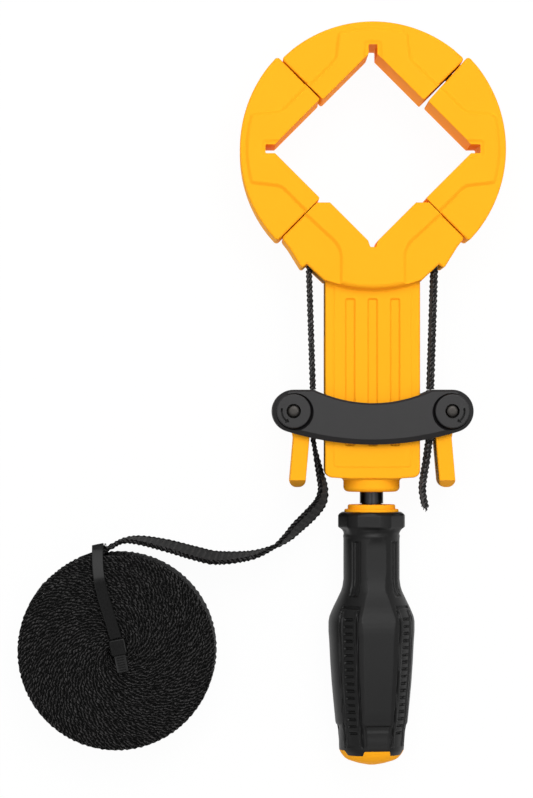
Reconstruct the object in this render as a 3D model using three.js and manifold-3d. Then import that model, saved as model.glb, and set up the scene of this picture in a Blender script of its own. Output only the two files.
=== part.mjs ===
// Screw-tightened band clamp: a fixed jaw on a shaft, three loose corner jaws, a webbing band that runs
// inside the jaws and down to a crossbar, and a handle whose screw draws the crossbar along the shaft.
// Millimetres. The clamp lies on its back: X to the right, Y from the handle to the ring, Z up.
// The origin is on the back face of the fixed jaw, on the centre line below its notch.

import * as THREE from 'three';
import { mergeVertices } from 'three/addons/utils/BufferGeometryUtils.js';
import Module from 'manifold-3d';

const wasm = await Module();
wasm.setup();

// Fits
const CLEARANCE = 0.3;            // between pieces that meet or run on each other
const SLOT_CLEARANCE = 0.5;       // each side of the band inside the jaws
const PLATE_CLEARANCE = 0.4;      // between the shaft and the crossbar plates

// Ring of jaws
const RING_RADIUS = 53.9;
const RING_DROP = 6.4;            // ring's lowest point below the origin
const JAW_DEPTH = 36;             // along Z
const JAW_GAP = 0.6;              // between neighbouring jaws, ring closed
const V_DISTANCE = 28.2;          // ring centre to the clamping faces of the loose jaws
const FIXED_V_DISTANCE = 27;      // ring centre to the clamping faces of the fixed jaw
const NOTCH_WIDTH = 3.6;          // relief where the two clamping faces meet
const NOTCH_DEPTH = 2.6;
const FIXED_NOTCH_WIDTH = 4.5;
const FIXED_NOTCH_FLOOR = 2.4;    // width at the bottom of the fixed jaw's notch
const FIXED_NOTCH_DEPTH = 0.6;
const PLATEAU_RISE = 0.6;         // raised pattern on the front and back of every jaw
const PLATEAU_STRIP = 8.9;        // its width along the clamping faces
const PLATEAU_HALF = 13.7;        // its half width at the middle of a jaw
const PLATEAU_RIM = 3.4;          // plain border left at the outer rim
const PLATEAU_FLARE = 2.6;        // how far the pad widens where it meets the strip
const PLATEAU_BULGE = 2.1;        // how far up the pad's side curve stays wide
const HEAD_PAD_RIM = 0.9;         // plain border below the fixed jaw's pad
const JAW_CHAMFER = 0.6;

// Fixed jaw's arms and band mouths
const HEAD_EDGE = 2.1;            // lower edge of the head outside the ring
const ARM_INSET = 2.7;            // arm's tip inside the ring
const ARM_FLAT = 20.8;            // flat on the arms' inner corners, below the ring centre
const SHOULDER_X = 1.8;           // short corner cut at the arm's tip
const SHOULDER_Y = 3.1;
const HOOK_REACH = 3.6;           // hook tip outside the band's centre line
const HOOK_END_X = 0.7;           // blunt end of the hook
const HOOK_END_Y = 0.8;
const HOOK_Y = 0.3;
const MOUTH_Y = 1.7;              // top of the mouth, where the band leaves the fixed jaw
const MOUTH_HOLD = 1.2;           // length of band hidden in the mouth
const NECK_Y = -4.5;              // where the mouth's slope reaches the shaft
const NECK_STEP = 0.5;            // width left beside the shaft there

// Shaft
const SHAFT_HALF = 19.3;
const SHAFT_DEPTH = 26;
const SHAFT_LENGTH = 85.2;        // origin to the shaft's foot
const SHAFT_CORNER = 3;
const SHAFT_CHAMFER = 0.8;
const PANEL_HALF = 15.9;          // raised panel on the front and back
const PANEL_RISE = 0.4;
const PANEL_MARGIN = 4.2;         // plain border above the foot
const PANEL_CORNER = 2.2;
const GROOVE_WIDTH = 4;
const GROOVE_PITCH = 9.1;
const GROOVE_DEPTH = 0.8;
const GROOVE_START = 11.8;
const GROOVE_MARGIN = 13.2;       // length left plain above the foot
const GROOVE_COUNT = 3;
const WINDOW_HEIGHT = 12.6;       // side slot that the nut bar slides in
const WINDOW_MARGIN = 5;          // slot left free past the nut bar at both ends of its travel

// Band
const BAND_WIDTH = 25.4;
const BAND_THICKNESS = 1.1;
const BAND_INSET = 9.4;           // centre line inside the ring where it crosses a gap
const BAND_BEND = 6;              // radius of its bend inside the fixed jaw
const MOUTH_X = 25.6;             // band's centre line at the mouths
const GRIP_X = 24;                // band's centre line between cam and anvil
const BAND_HOLD = 2;              // length still inside the next jaw when the ring is fully open

// Screw drive
const SCREW_LEAD = 3;
const SCREW_TURNS = 8;
const SCREW_RADIUS = 4.8;
const TIP_RADIUS = 3.1;           // plain tip that runs in the head
const TIP_LENGTH = 9;
const TIP_CHAMFER = 1;
const COLLAR_RADIUS = 7.2;        // thrust collar on the screw
const COLLAR_LENGTH = 3;
const WASHER_THICKNESS = 1;
const POCKET_RADIUS = 8;
const CAP_RADIUS = 11.5;          // bearing cap below the shaft
const CAP_LENGTH = 5.4;
const CAP_SPIGOT = 2.6;
const CAP_CHAMFER = 0.8;
const TANG_LENGTH = 34;           // hexagon moulded into the handle
const TANG_RADIUS = 4.8;
const TANG_CLEARANCE = 0.4;       // at the hexagon's corners

// Crossbar
const PIN_X = 32.1;
const PIN_RISE = 27.5;            // pins above the shaft's foot, ring closed
const PIN_RADIUS = 2.9;
const PIN_CHAMFER = 0.5;
const PLATE_THICKNESS = 4;
const PLATE_END_RADIUS = 8.7;
const PLATE_BEVEL_WIDTH = 2;
const PLATE_BEVEL_DEPTH = 1;
const PLATE_TOP_SAG = 5.5;        // how far the upper edge dips at the middle
const PLATE_BOTTOM_SAG = 5.3;     // how far the lower edge dips at the middle
const PAD_RADIUS = 7;
const PAD_RISE = 0.6;
const ANVIL_THICKNESS = 3.1;
const ANVIL_HEIGHT = 17;
const ANVIL_RISE = 6.2;          // anvil's top above the pins
const NUT_HEIGHT = 11;
const NUT_DEPTH = 12;
const NUT_DROP = 3;              // nut bar's middle below the pins
const NUT_SHY = 0.6;             // nut bar's ends inside the anvils' faces

// Cam levers
const CAM_LIFT = 0.9;             // eccentricity
const CAM_TEETH = 7;
const CAM_TOOTH_DEPTH = 0.5;
const CAM_TOOTH_ANGLE = 14;       // degrees
const LEVER_WIDTH = 6.1;
const LEVER_LENGTH = 31;          // pin to the lever's end
const LEVER_LEAN = 5;             // degrees, outwards
const LEVER_INSET = 4.2;          // pin to the arm's centre line, at the hub
const LEVER_CHAMFER = 1.2;

// Handle, measured down from its top
const ROD_SHOWN = 4.8;            // rod between the bearing cap and the handle
const COLLAR_STEP_RADIUS = 9.6;
const COLLAR_STEP = 1.8;
const COLLAR_BASE_RADIUS = 10.95;
const COLLAR_BASE = 1.2;
const COLLAR_CHAMFER = 0.6;
const FLANGE_RADIUS = 13.45;
const FLANGE_LENGTH = 6.9;
const FLANGE_CHAMFER = 1.2;
const NECK_RADIUS = 11.2;
const NECK_TOP = 12.6;
const NECK_END = 31.6;
const GRIP_RADIUS = 17.9;
const GRIP_WIDEST = 46.6;
const GRIP_FOOT_RADIUS = 15.4;
const STEP_RISE = 17.7;           // end of the full panels above the handle's end
const PANEL_STEP_DEPTH = 0.9;     // drop of the panels at the step
const TAB_RISE = 6.4;             // top of the end cap's tabs above the handle's end
const FINGER_RISE = 4.5;          // end of the grip's fingers above the handle's end
const GRIP_END_RADIUS = 13.8;
const HANDLE_END = 105.3;
const CORE_RADIUS = 8.5;
const CAP_PLUG = 5;               // length of the end cap's plug
const GRIP_SIDES = 4;
const GRIP_TURN = 7;              // degrees that the panels are turned from the front
const STRIP_HALF_ANGLE = 14;      // half width of a ribbed strip, degrees
const PANEL_FLAT = 0.7;           // how far a panel's middle lies inside the round
const RIB_COUNT = 17;
const RIB_RISE = 10.9;            // end of the ribs above the handle's end
const RIB_START = 46.8;
const RIB_DEPTH = 0.8;
const RECESS_WIDTH = 4.2;         // long recesses in the neck, in line with the strips
const RECESS_DEPTH = 0.6;
const RECESS_TOP = 15.1;
const RECESS_END = 34.6;
const FINGER_WIDTH = 8.4;
const FINGER_END_WIDTH = 5.6;
const DOME_POWER = 2.2;           // roundness of the handle's end

// Coil of spare band, held by a cable tie
const COIL_X = -104;
const COIL_DROP = 97;             // centre below the crossbar's pins
const COIL_RADIUS = 39.4;         // outermost centre line
const COIL_LOOPS = 22;
const COIL_STEPS = 20;            // per loop
const COIL_PITCH = 1.54;
const COIL_START = 112;           // degrees, where the free run meets the coil
const COIL_BASE = 1.9;            // underside above the table
const TIE_WIDTH = 4.7;
const TIE_THICKNESS = 1.3;
const TIE_ANGLE = 99.7;           // degrees, direction of the tie from the coil's centre
const TIE_REACH = 43.2;           // centre to the tie's outer leg
const TIE_BEND = 2;
const TIE_HEAD = 6.8;
const TIE_HEAD_HEIGHT = 4.6;
const TIE_TAIL = 10;
const SLOPE_START = 0.2;          // share of the free run where it starts to sink to the coil's height
const SLOPE_END = 0.9;

// Worked out from the sizes above
const MID = JAW_DEPTH / 2;
const TRAVEL = SCREW_LEAD * SCREW_TURNS;
const JAW_OPENING = TRAVEL / 2;
const BAND_REACH = JAW_OPENING + BAND_HOLD;
const BAND_STRAIGHT = BAND_REACH + SLOT_CLEARANCE;
const DIAGONAL = Math.SQRT1_2;
const RING_Y = RING_RADIUS - RING_DROP;
const HEAD_RADIUS = RING_RADIUS + HEAD_EDGE;
const ARM_TIP_RADIUS = RING_RADIUS - ARM_INSET;
const BAND_RADIUS = RING_RADIUS - BAND_INSET;
const PANEL_END = SHAFT_LENGTH - PANEL_MARGIN;
const GROOVE_END = SHAFT_LENGTH - GROOVE_MARGIN;
const PIN_Y = PIN_RISE - SHAFT_LENGTH;
const COIL_Y = PIN_Y - COIL_DROP;
const HANDLE_TOP = SHAFT_LENGTH + CAP_LENGTH + ROD_SHOWN;
const GAP_SHIFT = JAW_GAP / 2 * DIAGONAL;
const CROSSBAR_TOP = PIN_Y + PLATE_END_RADIUS;
const NUT_TOP = PIN_Y - NUT_DROP + NUT_HEIGHT / 2;
const NUT_BOTTOM = NUT_TOP - NUT_HEIGHT;
const WINDOW_TOP = NUT_TOP + TRAVEL + WINDOW_MARGIN;
const WINDOW_BOTTOM = NUT_BOTTOM - WINDOW_MARGIN;
const POCKET_TOP = CAP_SPIGOT + COLLAR_LENGTH + WASHER_THICKNESS + 3 * CLEARANCE - SHAFT_LENGTH;
const STRAND_TOP = MOUTH_Y - MOUTH_HOLD;
const ANVIL_FACE = GRIP_X - BAND_THICKNESS / 2 - CLEARANCE;
const ANVIL_TOP = PIN_Y + ANVIL_RISE;
const CAM_REACH = PIN_X - GRIP_X - BAND_THICKNESS / 2 - CLEARANCE;
const GRIP_TOP = COLLAR_STEP + COLLAR_BASE;
const GRIP_STEP = HANDLE_END - STEP_RISE;
const TAB_TOP = HANDLE_END - TAB_RISE;
const FINGER_END = HANDLE_END - FINGER_RISE;
const RIB_PITCH = (HANDLE_END - RIB_RISE - RIB_START) / RIB_COUNT;
const DOME_RADIUS = GRIP_END_RADIUS - PANEL_FLAT;
const CUT = 1;                    // how far a cutter runs past the face it opens

const YELLOW = { color: 0xfdb928, roughness: 0.45, metalness: 0 };
const BLACK_NYLON = { color: 0x444344, roughness: 0.6, metalness: 0 };
const BLACK_RUBBER = { color: 0x2d2d2d, roughness: 0.75, metalness: 0 };
const BLACK_STEEL = { color: 0x2a2a2b, roughness: 0.35, metalness: 0.9 };
const STEEL = { color: 0x8c8a87, roughness: 0.4, metalness: 0.9 };
const WEBBING = { color: 0x232121, roughness: 0.9, metalness: 0 };
const TIE_NYLON = { color: 0x373737, roughness: 0.35, metalness: 0 };

const radians = THREE.MathUtils.degToRad;
const clamp = new THREE.Group();

// Adds one finished piece to the clamp.
function add(name, body, finish) {
  const mesh = new THREE.Mesh(geometryOf(body), new THREE.MeshStandardMaterial(finish));
  mesh.name = name;
  clamp.add(mesh);
}

// A solid from a closed geometry, with shared corners merged and faces pointing out.
function solid(geometry) {
  const bare = new THREE.BufferGeometry();
  bare.setAttribute('position', geometry.getAttribute('position').clone());
  bare.setIndex(geometry.getIndex());
  const merged = mergeVertices(bare, 1e-4);
  const place = merged.getAttribute('position');
  const corners = [];
  let volume = 0;
  const [a, b, c] = [new THREE.Vector3(), new THREE.Vector3(), new THREE.Vector3()];
  for (let i = 0; i < merged.index.count; i += 3) {
    const ids = [0, 1, 2].map((k) => merged.index.getX(i + k));
    if (new Set(ids).size < 3) continue;
    corners.push(...ids);
    volume += a.fromBufferAttribute(place, ids[0])
      .dot(b.fromBufferAttribute(place, ids[1]).cross(c.fromBufferAttribute(place, ids[2])));
  }
  const triVerts = Uint32Array.from(volume < 0 ? corners.reverse() : corners);
  const vertProperties = Float32Array.from(place.array);
  return new wasm.Manifold(new wasm.Mesh({ numProp: 3, vertProperties, triVerts }));
}

function geometryOf(body) {
  const { vertProperties, triVerts } = body.getMesh();
  const geometry = new THREE.BufferGeometry();
  geometry.setAttribute('position', new THREE.BufferAttribute(Float32Array.from(vertProperties), 3));
  geometry.setIndex(new THREE.BufferAttribute(Uint32Array.from(triVerts), 1));
  geometry.computeVertexNormals();
  return geometry;
}

function block(x0, x1, y0, y1, z0, z1) {
  const geometry = new THREE.BoxGeometry(x1 - x0, y1 - y0, z1 - z0);
  return solid(geometry.translate((x0 + x1) / 2, (y0 + y1) / 2, (z0 + z1) / 2));
}

// Straight prism of an outline in the XY plane, with chamfers of one width and depth on both ends.
function prism(shape, z0, z1, width = 0, depth = width, curveSegments = 12) {
  const geometry = new THREE.ExtrudeGeometry(shape, {
    depth: z1 - z0 - 2 * depth,
    bevelEnabled: width > 0,
    bevelSize: width,
    bevelThickness: depth,
    bevelOffset: -width,
    bevelSegments: 1,
    curveSegments,
  });
  return solid(geometry.translate(0, 0, z0 + depth));
}

function disc(x, y, radius, z0, z1, sides = 24) {
  const geometry = new THREE.CylinderGeometry(radius, radius, z1 - z0, sides);
  return solid(geometry.rotateX(Math.PI / 2).translate(x, y, (z0 + z1) / 2));
}

// Body of revolution about the screw axis, from a closed profile of radius and height.
function turned(profile, sides = 32) {
  const points = profile.map(([radius, y]) => new THREE.Vector2(radius, y));
  return solid(new THREE.LatheGeometry(points, sides).translate(0, 0, MID));
}

// Faces of a closed tube of equal rings, with flat ends.
function skinRings(rings) {
  const size = rings[0].length;
  const faces = [];
  for (let i = 0; i + 1 < rings.length; i += 1) {
    for (let j = 0; j < size; j += 1) {
      const next = (j + 1) % size;
      faces.push(i * size + j, i * size + next, (i + 1) * size + next);
      faces.push(i * size + j, (i + 1) * size + next, (i + 1) * size + j);
    }
  }
  const last = (rings.length - 1) * size;
  for (let j = 1; j + 1 < size; j += 1) {
    faces.push(0, j + 1, j);
    faces.push(last, last + j, last + j + 1);
  }
  const geometry = new THREE.BufferGeometry().setFromPoints(rings.flat());
  geometry.setIndex(faces);
  return geometry;
}

// Flat strip along a route. Each station has a place and the direction of the strip's width there.
function ribbon(stations, width, thickness) {
  const rings = stations.map(({ at, across }, i) => {
    const before = stations[Math.max(i - 1, 0)].at;
    const after = stations[Math.min(i + 1, stations.length - 1)].at;
    const along = after.clone().sub(before).normalize();
    const side = across.clone().addScaledVector(along, -across.dot(along)).normalize();
    const up = along.clone().cross(side).multiplyScalar(thickness / 2);
    side.multiplyScalar(width / 2);
    const corner = (s, u) => at.clone().addScaledVector(side, s).addScaledVector(up, u);
    return [corner(-1, -1), corner(1, -1), corner(1, 1), corner(-1, 1)];
  });
  return skinRings(rings);
}

// Strip that stands on edge along a flat path, at the middle of the clamp's depth.
function edgeStrip(points, extra = 0) {
  const across = new THREE.Vector3(0, 0, 1);
  const stations = points.map((p) => ({ at: new THREE.Vector3(p.x, p.y, MID), across }));
  return solid(ribbon(stations, BAND_WIDTH + 2 * extra, BAND_THICKNESS + 2 * extra));
}

// Point on the line at 45 degrees that a band crosses a gap by, at a distance inside the jaw.
const gapPoint = (inside) => new THREE.Vector2(
  (BAND_RADIUS - inside) * DIAGONAL,
  (BAND_RADIUS + inside) * DIAGONAL,
);

// Band's centre line in a loose jaw, about the ring centre, with the jaw's middle towards +Y.
function jawBandPath(rightInside, leftInside) {
  const path = new THREE.Path();
  const bend = BAND_RADIUS - BAND_STRAIGHT;
  const start = gapPoint(rightInside);
  const end = gapPoint(leftInside);
  const turn = gapPoint(BAND_STRAIGHT);
  path.moveTo(start.x, start.y);
  path.lineTo(turn.x, turn.y);
  path.absarc(0, 2 * BAND_STRAIGHT * DIAGONAL, bend, Math.PI / 4, 3 * Math.PI / 4, false);
  path.lineTo(-end.x, end.y);
  return path.getPoints(6);
}

// Outline shared by a jaw's body and its raised pattern along the clamping faces, right to left.
function traceV(shape, distance, width, floor, depth) {
  const corner = distance * Math.SQRT2;
  shape.lineTo(-width / 2, corner - width / 2);
  shape.lineTo(-floor / 2, corner + depth);
  shape.lineTo(floor / 2, corner + depth);
  shape.lineTo(width / 2, corner - width / 2);
}

// Point on a jaw's right end face, at a distance from the ring centre.
const endPoint = (distance) => new THREE.Vector2(
  (distance - JAW_GAP / 2) * DIAGONAL,
  (distance + JAW_GAP / 2) * DIAGONAL,
);

function looseJawOutline() {
  const shape = new THREE.Shape();
  const inner = endPoint(V_DISTANCE);
  const outer = endPoint(Math.sqrt(RING_RADIUS ** 2 - (JAW_GAP / 2) ** 2));
  const start = Math.atan2(outer.y, outer.x);
  shape.moveTo(inner.x, inner.y);
  shape.lineTo(outer.x, outer.y);
  shape.absarc(0, 0, RING_RADIUS, start, Math.PI - start, false);
  shape.lineTo(-inner.x, inner.y);
  traceV(shape, V_DISTANCE, NOTCH_WIDTH, NOTCH_WIDTH, NOTCH_DEPTH);
  return shape;
}

// Raised pattern of a loose jaw: a strip along the clamping faces and a pad out to the rim.
function loosePlateauOutline() {
  const shape = new THREE.Shape();
  const rim = RING_RADIUS - PLATEAU_RIM;
  const inner = endPoint(V_DISTANCE);
  const outer = endPoint(V_DISTANCE + PLATEAU_STRIP);
  const rimY = Math.sqrt(rim ** 2 - PLATEAU_HALF ** 2);
  const rimAngle = Math.atan2(rimY, PLATEAU_HALF);
  const turnX = PLATEAU_HALF + PLATEAU_FLARE;
  const turnY = (V_DISTANCE + PLATEAU_STRIP) * Math.SQRT2 - turnX;
  const bulge = turnY + PLATEAU_BULGE;
  shape.moveTo(inner.x, inner.y);
  shape.lineTo(outer.x, outer.y);
  shape.lineTo(turnX, turnY);
  shape.quadraticCurveTo(PLATEAU_HALF, bulge, PLATEAU_HALF, rimY);
  shape.absarc(0, 0, rim, rimAngle, Math.PI - rimAngle, false);
  shape.quadraticCurveTo(-PLATEAU_HALF, bulge, -turnX, turnY);
  shape.lineTo(-outer.x, outer.y);
  shape.lineTo(-inner.x, inner.y);
  traceV(shape, V_DISTANCE, NOTCH_WIDTH, NOTCH_WIDTH, NOTCH_DEPTH);
  return shape;
}

// One loose jaw and the length of band inside it, turned to its place round the ring.
function looseJaw(name, turn, rightInside, leftInside) {
  const body = prism(looseJawOutline(), PLATEAU_RISE, JAW_DEPTH - PLATEAU_RISE, JAW_CHAMFER);
  const plateau = prism(loosePlateauOutline(), 0, JAW_DEPTH, 0, 0, 6);
  const slot = edgeStrip(jawBandPath(-BAND_HOLD, -BAND_HOLD), SLOT_CLEARANCE);
  const place = (piece) => piece.rotate([0, 0, turn]).translate([0, RING_Y, 0]);
  add(`${name}_jaw`, place(body.add(plateau).subtract(slot)), YELLOW);
  add(`band_in_${name}_jaw`, place(edgeStrip(jawBandPath(rightInside, leftInside))), WEBBING);
}

// Band's centre line in the fixed jaw on one side, from inside the side jaw down to the mouth.
function entryPath(side, inside, bottom) {
  const start = gapPoint(-inside);
  const corner = -2 * BAND_RADIUS * DIAGONAL + MOUTH_X;
  const tangent = BAND_BEND * Math.tan(Math.PI / 8);
  const path = new THREE.Path();
  path.moveTo(start.x, -start.y);
  path.lineTo(MOUTH_X + tangent * DIAGONAL, corner + tangent * DIAGONAL);
  path.absarc(MOUTH_X + BAND_BEND, corner - tangent, BAND_BEND, 3 * Math.PI / 4, Math.PI, false);
  path.lineTo(MOUTH_X, bottom - RING_Y);
  return path.getPoints(4).map((p) => new THREE.Vector2(side * p.x, p.y + RING_Y));
}

// Right half of the head's outline, from the notch round to the lower edge, about the ring centre.
function headHalf() {
  const corner = FIXED_V_DISTANCE * Math.SQRT2;
  const tip = ARM_TIP_RADIUS * DIAGONAL;
  const hookX = MOUTH_X + HOOK_REACH;
  const mouthX = MOUTH_X + BAND_THICKNESS / 2 + SLOT_CLEARANCE;
  const lower = -Math.sqrt(HEAD_RADIUS ** 2 - SHAFT_HALF ** 2);
  return [
    [FIXED_NOTCH_FLOOR / 2, -corner - FIXED_NOTCH_DEPTH],
    [FIXED_NOTCH_WIDTH / 2, FIXED_NOTCH_WIDTH / 2 - corner],
    [corner - ARM_FLAT, -ARM_FLAT],
    [ARM_FLAT - 2 * GAP_SHIFT, -ARM_FLAT],
    [tip - GAP_SHIFT, -tip - GAP_SHIFT],
    [tip - GAP_SHIFT - SHOULDER_X, -tip - GAP_SHIFT - SHOULDER_Y],
    [hookX, HOOK_Y - RING_Y],
    [hookX - HOOK_END_X, HOOK_Y - HOOK_END_Y - RING_Y],
    [mouthX, MOUTH_Y - RING_Y],
    [SHAFT_HALF + NECK_STEP, NECK_Y - RING_Y],
    [SHAFT_HALF, lower],
  ].map(([x, y]) => new THREE.Vector2(x, y + RING_Y));
}

function headOutline() {
  const half = headHalf();
  const foot = Math.asin(SHAFT_HALF / HEAD_RADIUS);
  const shape = new THREE.Shape();
  shape.moveTo(half[0].x, half[0].y);
  half.slice(1).forEach((p) => shape.lineTo(p.x, p.y));
  shape.absarc(0, RING_Y, HEAD_RADIUS, foot - Math.PI / 2, -foot - Math.PI / 2, true);
  half.slice(0, -1).reverse().forEach((p) => shape.lineTo(-p.x, p.y));
  return shape;
}

// Raised pattern of the fixed jaw: a strip along the clamping faces that runs down into the head.
function headPlateauOutline() {
  const half = headHalf().slice(0, 4);
  const strip = (FIXED_V_DISTANCE + PLATEAU_STRIP) * Math.SQRT2;
  const armX = strip / 2 - GAP_SHIFT;
  const armY = RING_Y - strip / 2 - GAP_SHIFT;
  const turnX = PLATEAU_HALF + PLATEAU_FLARE;
  const turnY = RING_Y - strip + turnX;
  const bulge = turnY - PLATEAU_BULGE;
  const rim = HEAD_RADIUS - HEAD_PAD_RIM;
  const rimY = RING_Y - Math.sqrt(rim ** 2 - PLATEAU_HALF ** 2);
  const foot = Math.asin(PLATEAU_HALF / rim);
  const shape = new THREE.Shape();
  shape.moveTo(half[0].x, half[0].y);
  half.slice(1).forEach((p) => shape.lineTo(p.x, p.y));
  shape.lineTo(armX, armY);
  shape.lineTo(turnX, turnY);
  shape.quadraticCurveTo(PLATEAU_HALF, bulge, PLATEAU_HALF, rimY);
  shape.absarc(0, RING_Y, rim, foot - Math.PI / 2, -foot - Math.PI / 2, true);
  shape.quadraticCurveTo(-PLATEAU_HALF, bulge, -turnX, turnY);
  shape.lineTo(-armX, armY);
  half.reverse().forEach((p) => shape.lineTo(-p.x, p.y));
  return shape;
}

// Upright plate with rounded lower corners, from the head down.
function plateOutline(half, bottom, corner) {
  const shape = new THREE.Shape();
  shape.moveTo(half, 0);
  shape.lineTo(-half, 0);
  shape.lineTo(-half, corner - bottom);
  shape.absarc(corner - half, corner - bottom, corner, Math.PI, 1.5 * Math.PI, false);
  shape.absarc(half - corner, corner - bottom, corner, 1.5 * Math.PI, 2 * Math.PI, false);
  return shape;
}

// Shaft with its raised panels, grooves, nut slot and the bores that hold the screw.
function shaft() {
  const back = MID - SHAFT_DEPTH / 2;
  const front = MID + SHAFT_DEPTH / 2;
  const outline = plateOutline(SHAFT_HALF, SHAFT_LENGTH, SHAFT_CORNER);
  let body = prism(outline, back + PANEL_RISE, front - PANEL_RISE, SHAFT_CHAMFER, SHAFT_CHAMFER, 4);
  body = body.add(prism(plateOutline(PANEL_HALF, PANEL_END, PANEL_CORNER), back, front, 0, 0, 4));
  for (let i = 0; i < GROOVE_COUNT; i += 1) {
    const x = (i - (GROOVE_COUNT - 1) / 2) * GROOVE_PITCH;
    const sides = [x - GROOVE_WIDTH / 2, x + GROOVE_WIDTH / 2, -GROOVE_END, -GROOVE_START];
    body = body.subtract(block(...sides, front - GROOVE_DEPTH, front + CUT));
    body = body.subtract(block(...sides, back - CUT, back + GROOVE_DEPTH));
  }
  return body;
}

function bodyFrame() {
  const slot = WINDOW_HEIGHT / 2;
  const reach = SHAFT_HALF + CUT;
  const pocket = turned([
    [0, -SHAFT_LENGTH - CUT],
    [POCKET_RADIUS, -SHAFT_LENGTH - CUT],
    [POCKET_RADIUS, POCKET_TOP],
    [SCREW_RADIUS + CLEARANCE, POCKET_TOP],
    [SCREW_RADIUS + CLEARANCE, WINDOW_BOTTOM + CUT],
    [TIP_RADIUS + CLEARANCE, WINDOW_BOTTOM + CUT],
    [TIP_RADIUS + CLEARANCE, WINDOW_TOP + TIP_LENGTH],
    [0, WINDOW_TOP + TIP_LENGTH],
  ]);
  const [back, front] = [PLATEAU_RISE, JAW_DEPTH - PLATEAU_RISE];
  let body = prism(headOutline(), back, front, JAW_CHAMFER, JAW_CHAMFER, 16);
  body = body.add(prism(headPlateauOutline(), 0, JAW_DEPTH, 0, 0, 10));
  body = body.add(shaft()).subtract(pocket);
  body = body.subtract(block(-reach, reach, WINDOW_BOTTOM, WINDOW_TOP, MID - slot, MID + slot));
  [-1, 1].forEach((side) => {
    body = body.subtract(edgeStrip(entryPath(side, BAND_HOLD, NECK_Y), SLOT_CLEARANCE));
  });
  return body;
}

function bearingCap() {
  const top = -SHAFT_LENGTH;
  const bore = SCREW_RADIUS + CLEARANCE;
  const spigot = POCKET_RADIUS - CLEARANCE;
  return turned([
    [bore, top - CAP_LENGTH],
    [CAP_RADIUS - CAP_CHAMFER, top - CAP_LENGTH],
    [CAP_RADIUS, top - CAP_LENGTH + CAP_CHAMFER],
    [CAP_RADIUS, top],
    [spigot, top],
    [spigot, top + CAP_SPIGOT],
    [bore, top + CAP_SPIGOT],
    [bore, top - CAP_LENGTH],
  ]);
}

function thrustWasher() {
  const top = POCKET_TOP - CLEARANCE;
  const bore = SCREW_RADIUS + CLEARANCE;
  const rim = POCKET_RADIUS - CLEARANCE;
  return turned([
    [bore, top - WASHER_THICKNESS],
    [rim, top - WASHER_THICKNESS],
    [rim, top],
    [bore, top],
    [bore, top - WASHER_THICKNESS],
  ]);
}

// Screw with its thrust collar, plain tip and the hexagon that the handle is moulded on.
function screwSpindle() {
  const collar = -SHAFT_LENGTH + CAP_SPIGOT + CLEARANCE;
  const thread = WINDOW_TOP - CLEARANCE;
  const rod = turned([
    [0, -HANDLE_TOP],
    [SCREW_RADIUS, -HANDLE_TOP],
    [SCREW_RADIUS, collar],
    [COLLAR_RADIUS, collar],
    [COLLAR_RADIUS, collar + COLLAR_LENGTH],
    [SCREW_RADIUS, collar + COLLAR_LENGTH],
    [SCREW_RADIUS, thread - TIP_CHAMFER],
    [SCREW_RADIUS - TIP_CHAMFER, thread],
    [TIP_RADIUS, thread],
    [TIP_RADIUS, WINDOW_TOP + TIP_LENGTH - CLEARANCE],
    [0, WINDOW_TOP + TIP_LENGTH - CLEARANCE],
  ], 24);
  return rod.add(hexagon(TANG_RADIUS, -HANDLE_TOP - TANG_LENGTH, -HANDLE_TOP + CUT));
}

function hexagon(radius, y0, y1) {
  const geometry = new THREE.CylinderGeometry(radius, radius, y1 - y0, 6);
  return solid(geometry.translate(0, (y0 + y1) / 2, MID));
}

// Yellow core of the handle: stepped collar and a stem inside the grip.
function handleCore() {
  const step = -COLLAR_STEP;
  const foot = -TAB_TOP + CAP_PLUG + CLEARANCE;
  const body = turned([
    [0, foot],
    [CORE_RADIUS, foot],
    [CORE_RADIUS, -GRIP_TOP],
    [COLLAR_BASE_RADIUS, -GRIP_TOP],
    [COLLAR_BASE_RADIUS, step],
    [COLLAR_STEP_RADIUS, step],
    [COLLAR_STEP_RADIUS, -COLLAR_CHAMFER],
    [COLLAR_STEP_RADIUS - COLLAR_CHAMFER, 0],
    [0, 0],
  ]);
  const seat = turned([
    [0, -CLEARANCE],
    [SCREW_RADIUS + CLEARANCE, -CLEARANCE],
    [SCREW_RADIUS + CLEARANCE, CUT],
    [0, CUT],
  ]);
  const socket = hexagon(TANG_RADIUS + TANG_CLEARANCE, -TANG_LENGTH - CLEARANCE, CUT);
  return onHandle(body.subtract(socket).subtract(seat));
}

// Moves a piece that is shaped about the handle's top to its place.
const onHandle = (piece) => piece.translate([0, -HANDLE_TOP, 0]);

// Radius of the grip's round below the flange, at a distance below the handle's top.
function gripRadius(down) {
  const { smoothstep, lerp, mapLinear } = THREE.MathUtils;
  if (down <= GRIP_WIDEST) return lerp(NECK_RADIUS, GRIP_RADIUS, smoothstep(down, NECK_END, GRIP_WIDEST));
  if (down <= GRIP_STEP) return mapLinear(down, GRIP_WIDEST, GRIP_STEP, GRIP_RADIUS, GRIP_FOOT_RADIUS);
  return mapLinear(down, GRIP_STEP, FINGER_END, GRIP_FOOT_RADIUS, GRIP_END_RADIUS);
}

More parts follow.
